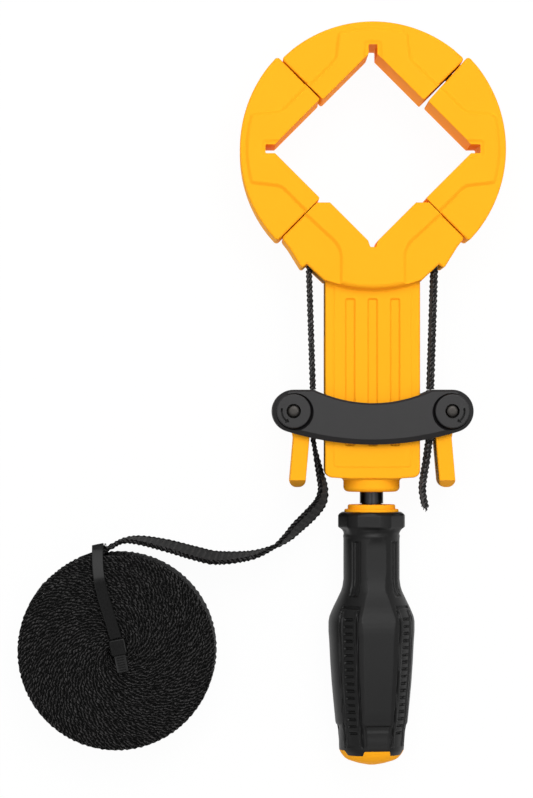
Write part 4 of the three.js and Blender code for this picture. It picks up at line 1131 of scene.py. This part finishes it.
@dataclass
class Body:
    """Fixed jaw and shaft in one moulding, with the bearing cap at its foot."""

    band: Band  # the band, for its slots
    v: float = 27.0  # distance from the ring's centre to the clamping faces
    lower: float = 56.0  # radius of the head's lower edge about the ring's centre
    shaft: float = 19.3  # half width of the shaft
    foot: float = -85.2  # Y of the shaft's foot
    back: float = 5.0  # Z of the shaft's back
    front: float = 31.0  # Z of the shaft's front
    strip: float = 37.5  # distance from the ring's centre to the foot of the raised strip
    arm_over: float = 1.35  # how far the arms' end faces stand beyond the ring's diagonals
    rise: float = 1.2  # height of the raised pattern
    panel: float = 16.2  # half width of the raised panels
    groove: float = 2.2  # half width of a groove
    pitch: float = 9.1  # distance between grooves
    groove_depth: float = 0.95  # depth of a groove
    groove_ends: tuple[float, float] = (-72.0, -11.8)  # Y of a groove's lower and upper end

    def arm(self, distance: float, shy: float = 0.0) -> tuple[float, float]:
        """Point on the right arm's end face at a distance from the ring's centre."""
        over = self.arm_over - shy
        return (distance + over) * HALF, (over - distance) * HALF

    def about_ring(self, half: Sequence[Corner]) -> list[Vector]:
        """Outline of two equal halves about the ring's centre."""
        return [p + RING.xy for p in filleted(both_halves(half))]

    def head_outline(self) -> list[Vector]:
        """Lower level of the head, with the arms, hooks and mouths."""
        edge = arc((0.0, 0.0), self.lower, -69.5, -90.0, 8)
        hidden = 31.0
        half = [
            (0.0, -hidden / HALF, 0.0),
            (*self.arm(hidden, 0.03), 0.0),
            (*self.arm(51.0, 0.03), 1.4),
            (34.2, -38.7, 1.4),
            (28.7, -47.6, 1.1),
            (26.8, -45.7, 0.2),
            *plain(edge),
        ]
        return self.about_ring(half)

    def full_outline(self) -> list[Vector]:
        """Outline of the head with its notch and clamping faces, wide enough for the raised pattern."""
        flat = -20.8
        half = [
            (1.1, -38.8, 0.5),
            (2.0, -36.18, 0.5),
            (flat + self.v / HALF, flat, 0.6),
            (self.arm_over / HALF - flat, flat, 0.6),
            (*self.arm(44.0), 0.0),
            (21.0, -50.0, 0.0),
            (16.0, -58.0, 0.0),
        ]
        return self.about_ring(half)

    def raised_outline(self) -> list[Vector]:
        """Foot of the head's raised pattern, which runs on beyond the clamping faces and the ends."""
        edge = arc((0.0, 0.0), self.lower + 3.0, -80.0, -90.0, 5)
        wide, foot = 13.8, self.strip / HALF
        half = [
            (0.0, -22.0, 0.0),
            (18.0, -4.0, 0.0),
            (foot / 2 + 14.0, 12.0 - foot / 2, 0.0),
            (wide, wide - foot, 9.0),
            (wide, -57.2, 2.2),
            *plain(edge),
        ]
        return self.about_ring(half)

    def shaft_outline(self) -> list[Vector]:
        """Shaft from inside the head down to its slightly rounded foot."""
        half = [
            (self.shaft, 0.0, 0.0),
            (self.shaft, self.foot + 0.7, 3.0),
            (9.0, self.foot, 12.0),
        ]
        return filleted(both_halves(half))

    def grooves(self, z0: float, z1: float, *rims: Rim) -> list[tuple[Join, BMesh]]:
        """Cutters for the three grooves on one face of the shaft, with rims at their front and back."""
        low, high = self.groove_ends
        cuts = []
        for x in (-self.pitch, 0.0, self.pitch):
            left, right = x - self.groove, x + self.groove
            corners = [(left, low, 1.0), (right, low, 1.0), (right, high, 1.0), (left, high, 1.0)]
            cuts.append((Join.CUT, slab(filleted(corners), z0, z1, *rims)))
        return cuts

    def across(self, half: float) -> BMesh:
        """Block over the shaft's root, up to half a width from the middle."""
        return box((-half, -12.0, -5.0), (half, 2.0, DEPTH + 5.0))

    def brow(self) -> BMesh:
        """Cutter that rounds the head's lower edge over the shaft."""
        rounded = disc(RING, self.lower - 0.1, 0.0, DEPTH, quarter(2.3, 3.0, 8))
        return combine(self.across(self.shaft + 0.3), (Join.CUT, rounded))

    def skirt(self) -> BMesh:
        """Hollow fillet between the head's lower edge and the shaft."""
        width, rise = 1.9, 2.1
        cove = quarter(width, rise, 6)[::-1]
        plate = disc(RING, self.lower + 1.7, self.back - width, self.front + width, cove)
        return combine(plate, (Join.KEEP, self.across(self.shaft - 0.8)))

    def bores(self) -> BMesh:
        """Cutter for the collar's pocket, the screw and its tip, from the foot up."""
        profile = [
            (0.0, -86.2), (8.0, -86.2), (8.0, -77.7), (5.1, -77.7), (5.1, -70.0), (3.4, -70.0),
            (3.4, -17.2), (0.0, -17.2),
        ]
        return lathe(profile, 48)

    def build(self) -> None:
        """Makes the moulding and its bearing cap."""
        shy = 0.4  # how far the shaft's sides lie below its panels
        head = slab(self.head_outline(), self.rise, DEPTH - self.rise, quarter(1.0))
        full = slab(self.full_outline(), -0.01, DEPTH + 0.01, quarter(0.4))
        raised = slab(self.raised_outline(), 0.0, DEPTH, slope(1.9, self.rise))
        stem = slab(self.shaft_outline(), self.back + shy, self.front - shy, quarter(0.8))
        corners = [(self.panel, -2.0, 0.0), (self.panel, -81.0, 2.2)]
        panel = slab(filleted(both_halves(corners)), self.back, self.front, slope(1.1, shy, 4))
        window = box((-20.5, -71.2, 11.7), (20.5, -26.2, 24.3))
        side_slope = slope(0.8, self.groove_depth, 4)
        moulding = combine(
            full,
            (Join.KEEP, raised),
            (Join.ADD, head),
            (Join.CUT, self.brow()),
            (Join.ADD, stem),
            (Join.ADD, panel),
            (Join.ADD, self.skirt()),
            *self.grooves(self.front - self.groove_depth, self.front + 1.0, (), side_slope),
            *self.grooves(self.back - 1.0, self.back + self.groove_depth, side_slope, ()),
            (Join.CUT, self.bores()),
            (Join.CUT, window),
            *[(Join.CUT, self.band.tunnel(self.band.entry_path(side, 2.0, -4.5))) for side in Side],
        )
        place(moulding, "body_moulding", YELLOW, "body", "body_frame")
        self.cap()

    def cap(self) -> None:
        """Round boss below the foot, with a small flare at its root and a rounded end."""
        bore, spigot, boss, end, corner = 5.1, 7.7, 11.5, -90.6, 2.0
        profile = [
            (bore, -82.6), (spigot, -82.6), (spigot, -85.25), (12.4, -85.25), (11.8, -85.6), (boss, -86.2),
            *map(tuple, arc((boss - corner, end + corner), corner, 0.0, -90.0, 6)),
            (5.6, end), (bore, end + 0.5),
        ]
        place(lathe(profile), "bearing_cap_moulding", YELLOW, "body", "bearing_cap")


@dataclass
class ScrewDrive:
    """Threaded spindle between the shaft and the handle."""

    radius: float = 4.8  # outer radius of the rod and the thread
    root: float = 3.9  # radius at the thread's root
    lead: float = 3.0  # lead of the thread
    top: float = -28.0  # Y where the thread ends under the plain tip
    low: float = -76.5  # Y where the thread starts above the collar
    stub: float = 4.1  # radius of the end inside the handle
    collar: float = 7.2  # radius of the collar
    tip: float = 3.1  # radius of the plain tip

    def build(self) -> None:
        """Makes the spindle with a real helical thread."""
        profile = [
            (0.0, -129.4), (self.stub, -129.4), (self.stub, -95.4), (self.radius, -95.4),
            (self.radius, -82.3), (self.collar, -82.3), (self.collar, -79.3), (self.radius, -79.3),
            (self.radius, self.low), (self.root, self.low + 0.9), (self.root, self.top),
            (self.tip, self.top + 0.8), (self.tip, -18.2), (2.6, -17.5), (0.0, -17.5),
        ]
        rod = lathe(profile, 64)
        place(joined(rod, self.thread()), "threaded_spindle", OXIDE, "handle", "screw_spindle")

    def thread(self) -> BMesh:
        """Helical ridge: its trapezium section is spun and drawn up along the axis."""
        bm = bmesh.new()
        section = [(self.root - 0.3, -0.95), (self.radius, -0.4), (self.radius, 0.4), (self.root - 0.3, 0.95)]
        face = bm.faces.new([bm.verts.new((r, self.low + 1.0 + y, MID)) for r, y in section])
        turns = (self.top - self.low - 3.0) / self.lead
        steps = int(turns * 40)
        rise = self.lead * turns / steps
        bmesh.ops.spin(
            bm, geom=[face], cent=(0.0, 0.0, MID), axis=(0.0, 1.0, 0.0), dvec=(0.0, rise, 0.0),
            angle=math.tau * turns, steps=steps,
        )
        bmesh.ops.recalc_face_normals(bm, faces=bm.faces[:])
        return bm


@dataclass
class Crossbar:
    """Two plates with their pins, and the cam levers between them."""

    pin_x: float = 32.1  # X of the pins
    pin_y: float = -57.7  # Y of the pins
    inner: float = 31.4  # Z of the front plate's inner face
    outer: float = 35.4  # Z of its outer face
    end: float = 8.7  # radius of the plates' ends
    shoulder: float = 24.0  # X where the upper edge starts to dip
    upper_dip: float = 7.3  # depth of the upper edge's control points
    lower_dip: float = 7.1  # depth of the lower edge's control points
    fall: float = 5.3  # height that gives the lower edge its slant at the ends
    pad: float = 7.0  # radius of the raised pads
    pad_rise: float = 0.6  # height of the pads over the plate
    arrow: float = 4.85  # radius of the curved arrows' middle
    line: float = 0.4  # half width of an arrow's line
    barb: float = 1.1  # half width of its head
    arrow_depth: float = 2.8  # depth of an arrow
    pin: float = 2.9  # radius of the pins' shanks
    pin_end: float = 2.4  # radius of their turned-down ends

    def outline(self, over: float = 0.0) -> list[Vector]:
        """Plate seen from the front: round ends joined by two dipping edges.

        Args:
            over: How far a straight upper edge stands above the plate, or 0 for the plate's own.

        Returns:
            Points of the outline.
        """
        top = self.pin_y + self.end
        slant = math.degrees(math.atan(2.0 * self.fall / self.pin_x))
        tip = arc((self.pin_x, self.pin_y), self.end, slant - 90.0, 60.0 if over else 90.0, 22)
        upper = dipping(self.shoulder, top, self.upper_dip, 25)
        if over:
            upper = [Vector((x, top + over)) for x in (tip[-1].x, -tip[-1].x)]
        lower = dipping(-tip[0].x, tip[0].y, self.lower_dip, 29)
        left = [Vector((-p.x, p.y)) for p in reversed(tip)]
        return [*tip, *upper, *left, *lower[1:-1]]

    def arrow_cuts(self, side: Side) -> list[tuple[Join, BMesh]]:
        """Cutters for the thin curved arrow that shows which way the lever swings."""
        centre = (side.value * self.pin_x, self.pin_y)
        start, end, point = (14.0, -52.0, -69.0) if side is Side.RIGHT else (166.0, 232.0, 249.0)
        outside, inside = self.arrow + self.line, self.arrow - self.line
        shaft = [*arc(centre, outside, start, end, 12), *arc(centre, inside, end, start, 12)]
        corners = ((self.arrow, point), (self.arrow + self.barb, end), (self.arrow - self.barb, end))
        head = [arc(centre, radius, angle, angle, 1)[0] for radius, angle in corners]
        level = self.outer + self.pad_rise
        return [(Join.CUT, slab(shape, level - self.arrow_depth, level + 1.0)) for shape in (shaft, head)]

    def plate(self) -> BMesh:
        """Front plate with a bevel that is broad below and at the ends, ringed pads, pin holes and arrows."""
        soft = quarter(0.3, 0.3, 2)
        body = slab(self.outline(), self.inner, self.outer, [*soft, (0.5, 0.4), (0.15, 0.05)], ())
        bevel = [*soft, (1.7, 1.15), (0.2, 0.05)]
        steps = [(Join.KEEP, slab(self.outline(6.0), self.inner - 1.0, self.outer, bevel, ()))]
        aside, deep = 0.4, 2.2  # shift and depth of the ring round a pad
        level = self.outer + self.pad_rise
        for side in Side:
            x, y = side.value * self.pin_x, self.pin_y
            ring = arc((x - side.value * aside, y - aside), self.pad + 0.7, 0.0, 360.0, DISC_SIDES)[:-1]
            steps += [
                (Join.CUT, slab(ring, self.outer - deep, self.outer + 2.0, (), [(1.4, deep)])),
                (Join.ADD, disc((x, y), self.pad, self.inner + 0.5, level, quarter(0.5))),
                (Join.CUT, disc((x, y), self.pin + 0.02, self.inner - 1.0, self.outer + 2.0)),
                *self.arrow_cuts(side),
            ]
        return combine(body, *steps)

    def lever(self, side: Side) -> BMesh:
        """Cam with a toothed nose, and the arm that hangs from it."""
        def at(x: float, y: float) -> Vector:
            """Point at a distance inwards of the pin and above it."""
            return Vector((side.value * (self.pin_x - x), self.pin_y + y))

        reach, lift, teeth, tooth = 7.25, 0.9, 7, 14.0  # millimetres, a count and degrees
        radius = reach - lift
        first = -teeth * tooth / 2
        nose = []
        for i in range(teeth):
            for share, cut in ((0.0, 0.0), (0.5, 0.5)):
                turn = math.radians(first + (i + share) * tooth)
                nose.append(at(lift + (radius - cut) * math.cos(turn), (radius - cut) * math.sin(turn)))
        nose += [at(p.x, p.y) for p in arc((lift, 0.0), radius, -first, 360.0 + first, 40)[:-1]]
        low, high = MID - 13.1, MID + 13.1
        lean = math.tan(math.radians(5.0))
        half, tip, facet = 3.25, -31.0, 3.0
        sides = (
            (-2.0, -1.9, 0.0), (-8.0, -1.25, 1.5), (-10.8, -1.0, 2.5), (tip, -1.0, 2.7), (tip, 1.0, 2.7),
            (-2.0, 1.0, 0.0),
        )
        corners = [(*at(4.2 + y * lean + sign * half, y), fillet) for y, sign, fillet in sides]
        arm = slab(filleted(corners, 8), low, high, quarter(0.6, steps=4))
        start = self.pin_y + tip + facet
        geom = arm.verts[:] + arm.edges[:] + arm.faces[:]
        bmesh.ops.bisect_plane(arm, geom=geom, plane_co=(0.0, start, 0.0), plane_no=(0.0, 1.0, 0.0))
        for vert in arm.verts:
            near = min(max((start - vert.co.y) / facet, 0.0), 1.0)
            vert.co.z = MID + (vert.co.z - MID) * (1.0 - 0.7 * near)
        hole = disc((side.value * self.pin_x, self.pin_y), self.pin + 0.3, 0.0, DEPTH)
        return combine(slab(nose, low, high, quarter(0.3, steps=2)), (Join.ADD, arm), (Join.CUT, hole))

    def build(self) -> None:
        """Makes both plates, the pins and the levers."""
        place(self.plate(), "crossbar_front", NYLON, "crossbar", "crossbar_front_plate")
        place(flipped(self.plate()), "crossbar_rear", NYLON, "crossbar", "crossbar_rear_plate")
        for side in Side:
            name = side.name.lower()
            spot = (side.value * self.pin_x, self.pin_y)
            ends = disc(spot, self.pin_end, 0.2, DEPTH - 0.2, quarter(1.7, 0.6, 6))
            pin = combine(disc(spot, self.pin, 4.2, DEPTH - 4.2, quarter(0.3)), (Join.ADD, ends))
            place(pin, f"{name}_rivet_pin", STEEL, "crossbar", f"{name}_pivot_pin")
            place(self.lever(side), f"{name}_lever_moulding", YELLOW, f"{name}_lever", f"{name}_cam_lever")


@dataclass
class Handle:
    """Screwdriver-style handle: stepped collar, moulded grip and domed end."""

    turn: float = 9.0  # angle of the front panel's middle from straight up, in degrees
    sides: int = 320  # points round the grip
    rows: float = 0.37  # distance between rows of points along it
    rib: float = 2.86  # pitch of the ribs in the strips
    end: float = 196.2  # distance of the grip's fingers' ends below the origin
    tab: float = 194.3  # distance of the domed end's tabs
    core: float = 9.2  # inner radius of the grip
    gather: float = 190.0  # distance from which the grip's rows draw together to meet its ends
    settle: float = 197.4  # distance from which the domed end is plain
    grown: float = 1.0124  # scale about the middle that fits the sizes above to their lower place
    middle: float = -60.0  # Y of the scale's middle

    # Distance below the origin and radius of the grip's round and of the domed end
    ROUND = (
        (98.4, 11.9), (99.0, 12.9), (99.8, 13.45), (104.4, 13.45), (105.2, 13.0), (107.6, 11.65),
        (109.0, 11.35), (125.5, 11.35), (128.4, 11.75), (130.4, 12.35), (132.4, 13.3), (134.5, 14.3),
        (136.5, 15.3), (138.5, 16.2), (140.5, 17.0), (142.6, 17.4), (146.6, 17.4), (150.7, 17.1),
        (158.8, 16.7), (166.9, 16.15), (175.0, 15.4), (183.1, 14.6), (184.6, 14.2), (187.1, 13.75),
        (191.2, 13.4), (194.3, 13.05), (195.2, 12.65), (196.2, 12.05),
    )
    DOME = (
        (194.3, 13.05), (195.2, 12.65), (196.2, 12.05), (197.0, 11.4), (197.8, 10.6), (198.5, 9.4),
        (199.0, 7.9), (199.7, 5.6), (200.2, 3.2), (200.5, 1.5), (200.6, 0.0),
    )
    # Where each form of the grip rises and falls: distances below the origin, or aside of a strip's middle
    FLANGE = (98.6, 99.6, 104.6, 106.6)
    UNDERCUT = (104.4, 105.6, 106.4, 108.4)
    NECK = (110.0, 110.6, 131.8, 132.5)
    STRIP = (137.4, 138.2, 192.3, 193.1)
    STRIP_TOP = (135.9, 136.4, 136.8, 137.3)
    FRAME = (3.8, 4.1, 4.5, 4.85)

    def set_out(self, vert: BMVert, angle: float, down: float, reach: float) -> None:
        """Moves a point to an angle, a distance below the origin and a radius."""
        turn = math.radians(angle)
        vert.co = Vector((reach * math.sin(turn), -down, MID + reach * math.cos(turn)))

    def swing(self, vert: BMVert) -> tuple[float, float]:
        """Radius and angle, in degrees from straight up and to the right, of a point."""
        up, right = vert.co.z - MID, vert.co.x
        return math.hypot(up, right), math.degrees(math.atan2(right, up))

    def boundary(self, angle: float) -> float:
        """Where the grip ends and the domed end starts, at an angle."""
        off = abs((angle - self.turn + 45.0) % 90.0 - 45.0)
        return self.tab + (self.end - self.tab) * smooth(off, 22.5, 28.5)

    def flat(self, angle: float, down: float) -> float:
        """How far the flat panels at the front and back lie below the round."""
        panel = math.radians((angle - self.turn + 90.0) % 180.0 - 90.0)
        even = sum(along(self.ROUND, down + step) for step in (-4.0, -2.0, 0.0, 2.0, 4.0)) / 5
        below = min(0.935 * even / math.cos(panel) - along(self.ROUND, down), 0.0)
        return below * smooth(down, 108.0, 110.5)

    def relief(self, angle: float, down: float, radius: float) -> float:
        """Height of the grip's pattern over its round.

        Args:
            angle: Angle from straight up, in degrees.
            down: Distance below the origin.
            radius: Radius of the round there.

        Returns:
            The height, below 0 where the pattern is pressed in.
        """
        panel = (angle - self.turn + 45.0) % 90.0 - 45.0
        strip = (angle - self.turn) % 90.0 - 45.0
        aside = abs(strip) * math.pi / 180.0 * radius
        depth = self.flat(angle, down)
        # flange: a rounded hexagon
        face = math.radians((angle + 7.0 + 30.0) % 60.0 - 30.0)
        depth += plateau(down, self.FLANGE) * (min(12.75 / math.cos(face), 13.5) - 13.45)
        # arched undercut below the flange
        depth -= 0.9 * plateau(down, self.UNDERCUT) * fade(abs(panel), 12.0, 40.0)
        # neck recesses in line with the strips
        depth -= plateau(down, self.NECK) * (0.6 * fade(aside, 1.9, 2.3) + 0.55 * fade(aside, 0.7, 1.0))
        # ribbed strips in raised frames
        depth -= plateau(down, self.STRIP) * (0.4 * fade(aside, 2.75, 3.1) + 0.7 * plateau(aside, self.FRAME))
        depth -= 0.7 * plateau(down, self.STRIP_TOP) * fade(aside, 4.1, 4.6)
        count = (down - 141.3) / self.rib
        if -0.5 < count < 47.0 / self.rib:
            notch = fade(abs(count - round(count)) * self.rib, 0.25, 0.65)
            depth -= 0.8 * notch * fade(aside, 1.8, 2.2)
        # panels: a step near the end
        step = smooth(down, 183.9, 184.4) * (1.0 - 0.35 * smooth(down, 185.8, 187.0))
        return depth - 0.9 * step * fade(down, 187.0, 194.5) * smooth(aside, 5.6, 6.2)

    def grip(self) -> BMesh:
        """Spun round of the grip with its pattern pressed in."""
        first, last = self.ROUND[0][0], self.ROUND[-1][0]
        count = int((last - first) / self.rows)
        downs = [first + (last - first) * i / count for i in range(count + 1)]
        outer = [(along(self.ROUND, d), -d) for d in downs]
        bm = lathe([(self.core, -first), *outer, (self.core, -last)], self.sides)
        for vert in bm.verts:
            radius, angle = self.swing(vert)
            if radius < self.core + 0.3:
                continue
            down = -vert.co.y
            if down > self.gather:
                share = (self.boundary(angle) - self.gather) / (last - self.gather)
                down = self.gather + (down - self.gather) * share
            self.set_out(vert, angle, down, along(self.ROUND, down) + self.relief(angle, down, radius))
        return bm

    def dome(self) -> BMesh:
        """Domed end, with tabs between the grip's fingers."""
        first, last, rows, gap = self.DOME[0][0], self.DOME[-1][0], 40, 0.04
        fine = [first + (last - first) * (i / rows) ** 0.85 for i in range(rows + 1)]
        outer = [(along(self.DOME, d), -d) for d in fine]
        bm = lathe([(0.0, -193.0), (8.0, -193.0), (8.0, -194.2), *outer], self.sides)
        for vert in bm.verts:
            _, angle = self.swing(vert)
            down = -vert.co.y
            if down < first - 0.05 or down > self.settle:
                continue
            limit = self.boundary(angle) + gap
            down = limit + (down - first) * (self.settle - limit) / (self.settle - first)
            self.set_out(vert, angle, down, along(self.DOME, down))
        return bm

    def collar(self) -> BMesh:
        """Stepped collar and the stem inside the grip."""
        step, ring, stem, bore = 9.6, 10.95, 8.5, 4.4
        upper = arc((step - 0.6, -96.0), 0.6, 90.0, 0.0, 4)
        lower = arc((ring - 0.5, -97.7), 0.5, 90.0, 0.0, 4)
        profile = [
            (5.1, -95.6), (5.4, -95.4), *map(tuple, upper), (step, -97.2), *map(tuple, lower), (ring, -98.35),
            (8.9, -98.35), (stem, -99.0), (stem, -189.0), (bore, -189.0), (bore, -96.2),
        ]
        return lathe(profile)

    def build(self) -> None:
        """Makes the collar, the grip and the domed end."""
        for bm, name, finish, node, crease in (
            (self.collar(), "handle_collar", YELLOW, "handle_core", 32.0),
            (self.grip(), "grip_sleeve", RUBBER, "handle_grip", 38.0),
            (self.dome(), "handle_dome", YELLOW, "handle_end_cap", 50.0),
        ):
            shift = Matrix.Translation((0.0, -self.middle, -MID))
            bmesh.ops.scale(bm, vec=(self.grown,) * 3, space=shift, verts=bm.verts[:])
            place(bm, name, finish, "handle", node, crease=crease)


@dataclass
class CableTie:
    """Tie that holds the coil: strap, head and the ribbed end standing out of it."""

    width: float = 4.7  # width of the strap
    thick: float = 1.3  # its thickness
    angle: float = 101.5  # direction of the tie from its head to the coil's rim, in degrees
    reach: float = 41.9  # distance from the head's middle to the outer leg
    inner: float = -1.8  # distance from the head's middle to the leg inside the coil
    top: float = 29.4  # Z of the strap's middle over the coil
    bottom: float = 0.95  # Z of its middle under the coil
    head: float = 6.8  # side of the head
    tail: float = 7.0  # length of the end that stands out of the head
    bow: float = 2.0  # how far the strap bows aside over the coil
    lift: float = 0.15  # slope of the end that stands out of the head
    chamfer: float = 0.3  # width of the strap's bevelled edges
    base: float = 27.6  # Z of the head's underside
    tall: float = 4.6  # height of the head

    CENTRE = Vector((-103.3, -153.5, 0.0))

    def ways(self) -> tuple[Vector, Vector]:
        """Directions along the tie, out to the rim, and across it."""
        turn = math.radians(self.angle)
        return Vector((math.cos(turn), math.sin(turn), 0.0)), Vector((-math.sin(turn), math.cos(turn), 0.0))

    def spot(self, out: float, z: float) -> Vector:
        """Place on the tie, which bows aside over the coil, dips at its rim and leans in below.

        Args:
            out: Distance out from the head's middle.
            z: Height before the dip.

        Returns:
            The place.
        """
        way, across = self.ways()
        upper = smooth(z, MID, self.top)
        aside = self.bow * math.sin(math.pi * (min(max(out, 0.0) / self.reach, 1.0)) ** 1.5)
        z -= upper * 2.4 * smooth(out, 27.0, 42.0)
        out -= 1.4 * fade(z, self.bottom, self.top - 4.0) * smooth(out, self.reach - 3.0, self.reach)
        return self.CENTRE + way * out + across * aside * upper + Vector((0.0, 0.0, z))

    def build(self) -> None:
        """Makes the strap, and the head with the tie's end."""
        bend, gap = 2.0, 0.3
        path = [
            Vector((self.head / 2 + gap, self.top)),
            *arc((self.reach - bend, self.top - bend), bend, 90.0, 0.0, 8),
            *arc((self.reach - bend, self.bottom + bend), bend, 0.0, -90.0, 8),
            *arc((self.inner + bend, self.bottom + bend), bend, 270.0, 180.0, 8),
            Vector((self.inner, self.top - self.thick / 2 - gap)),
        ]
        out, half = self.width / 2, self.thick / 2
        flat, side = out - self.chamfer, half - self.chamfer
        section = [
            (-out, -side), (-flat, -half), (flat, -half), (out, -side),
            (out, side), (flat, half), (-flat, half), (-out, side),
        ]
        _, across = self.ways()
        strap = ribbon([(self.spot(p.x, p.y), across) for p in routed(plain(path), 0.4)], section)
        place(strap, "tie_band", TIE, "body", "tie_strap")
        place(turned(self.head_block(), self.angle, self.CENTRE), "tie_buckle", TIE, "body", "tie_head")

    def head_block(self) -> BMesh:
        """Head with the ribbed end along -X."""
        half, out = self.head / 2, self.width / 2
        end = -half - self.tail
        side = [(-half, -half, 1.0), (half, -half, 1.0), (half, half, 1.0), (-half, half, 1.0)]
        block = slab(filleted(side), self.base, self.base + self.tall, quarter(0.7))
        low = self.base + (self.tall - self.thick) / 2
        strip = [(end, -out, 0.6), (0.0, -out, 0.0), (0.0, out, 0.0), (end, out, 0.6)]
        tail = slab(filleted(strip), low, low + self.thick, quarter(0.25, steps=2))
        for vert in tail.verts:
            vert.co.z += self.lift * max(-half - vert.co.x, 0.0)
        ribs, deep, wide, rim = [], 0.35, 0.5, 0.9
        for i in range(6):
            x = end + 0.8 + i
            high = low + self.thick - self.lift * (x + half)
            ribs.append((Join.CUT, box((x, rim - out, high - deep), (x + wide, out - rim, high + 3.0))))
        return combine(block, (Join.ADD, tail), *ribs)


def dress_nodes(nodes: dict[str, bpy.types.Object]) -> None:
    """Gives the CAD nodes that stay their materials.

    Args:
        nodes: CAD objects by name.
    """
    kept = {"thrust_washer": STEEL, "nut_bar": STEEL, "left_anvil": NYLON, "right_anvil": NYLON}
    for name, finish in kept.items():
        nodes[name].data.materials.clear()
        nodes[name].data.materials.append(finish.material())
        LOG.info("%s keeps its CAD shape in %s", name, finish.name)


def main() -> None:
    """Builds the clamp over the frame."""
    logging.basicConfig(level=logging.INFO, format="%(name)s: %(message)s")
    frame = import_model()
    Studio().build()
    band = Band()
    band.build()
    build_ring(band)
    Body(band).build()
    ScrewDrive().build()
    Crossbar().build()
    Handle().build()
    CableTie().build()
    dress_nodes(frame["nodes"])
    bpy.context.view_layer.update()


if __name__ == "__main__":
    main()
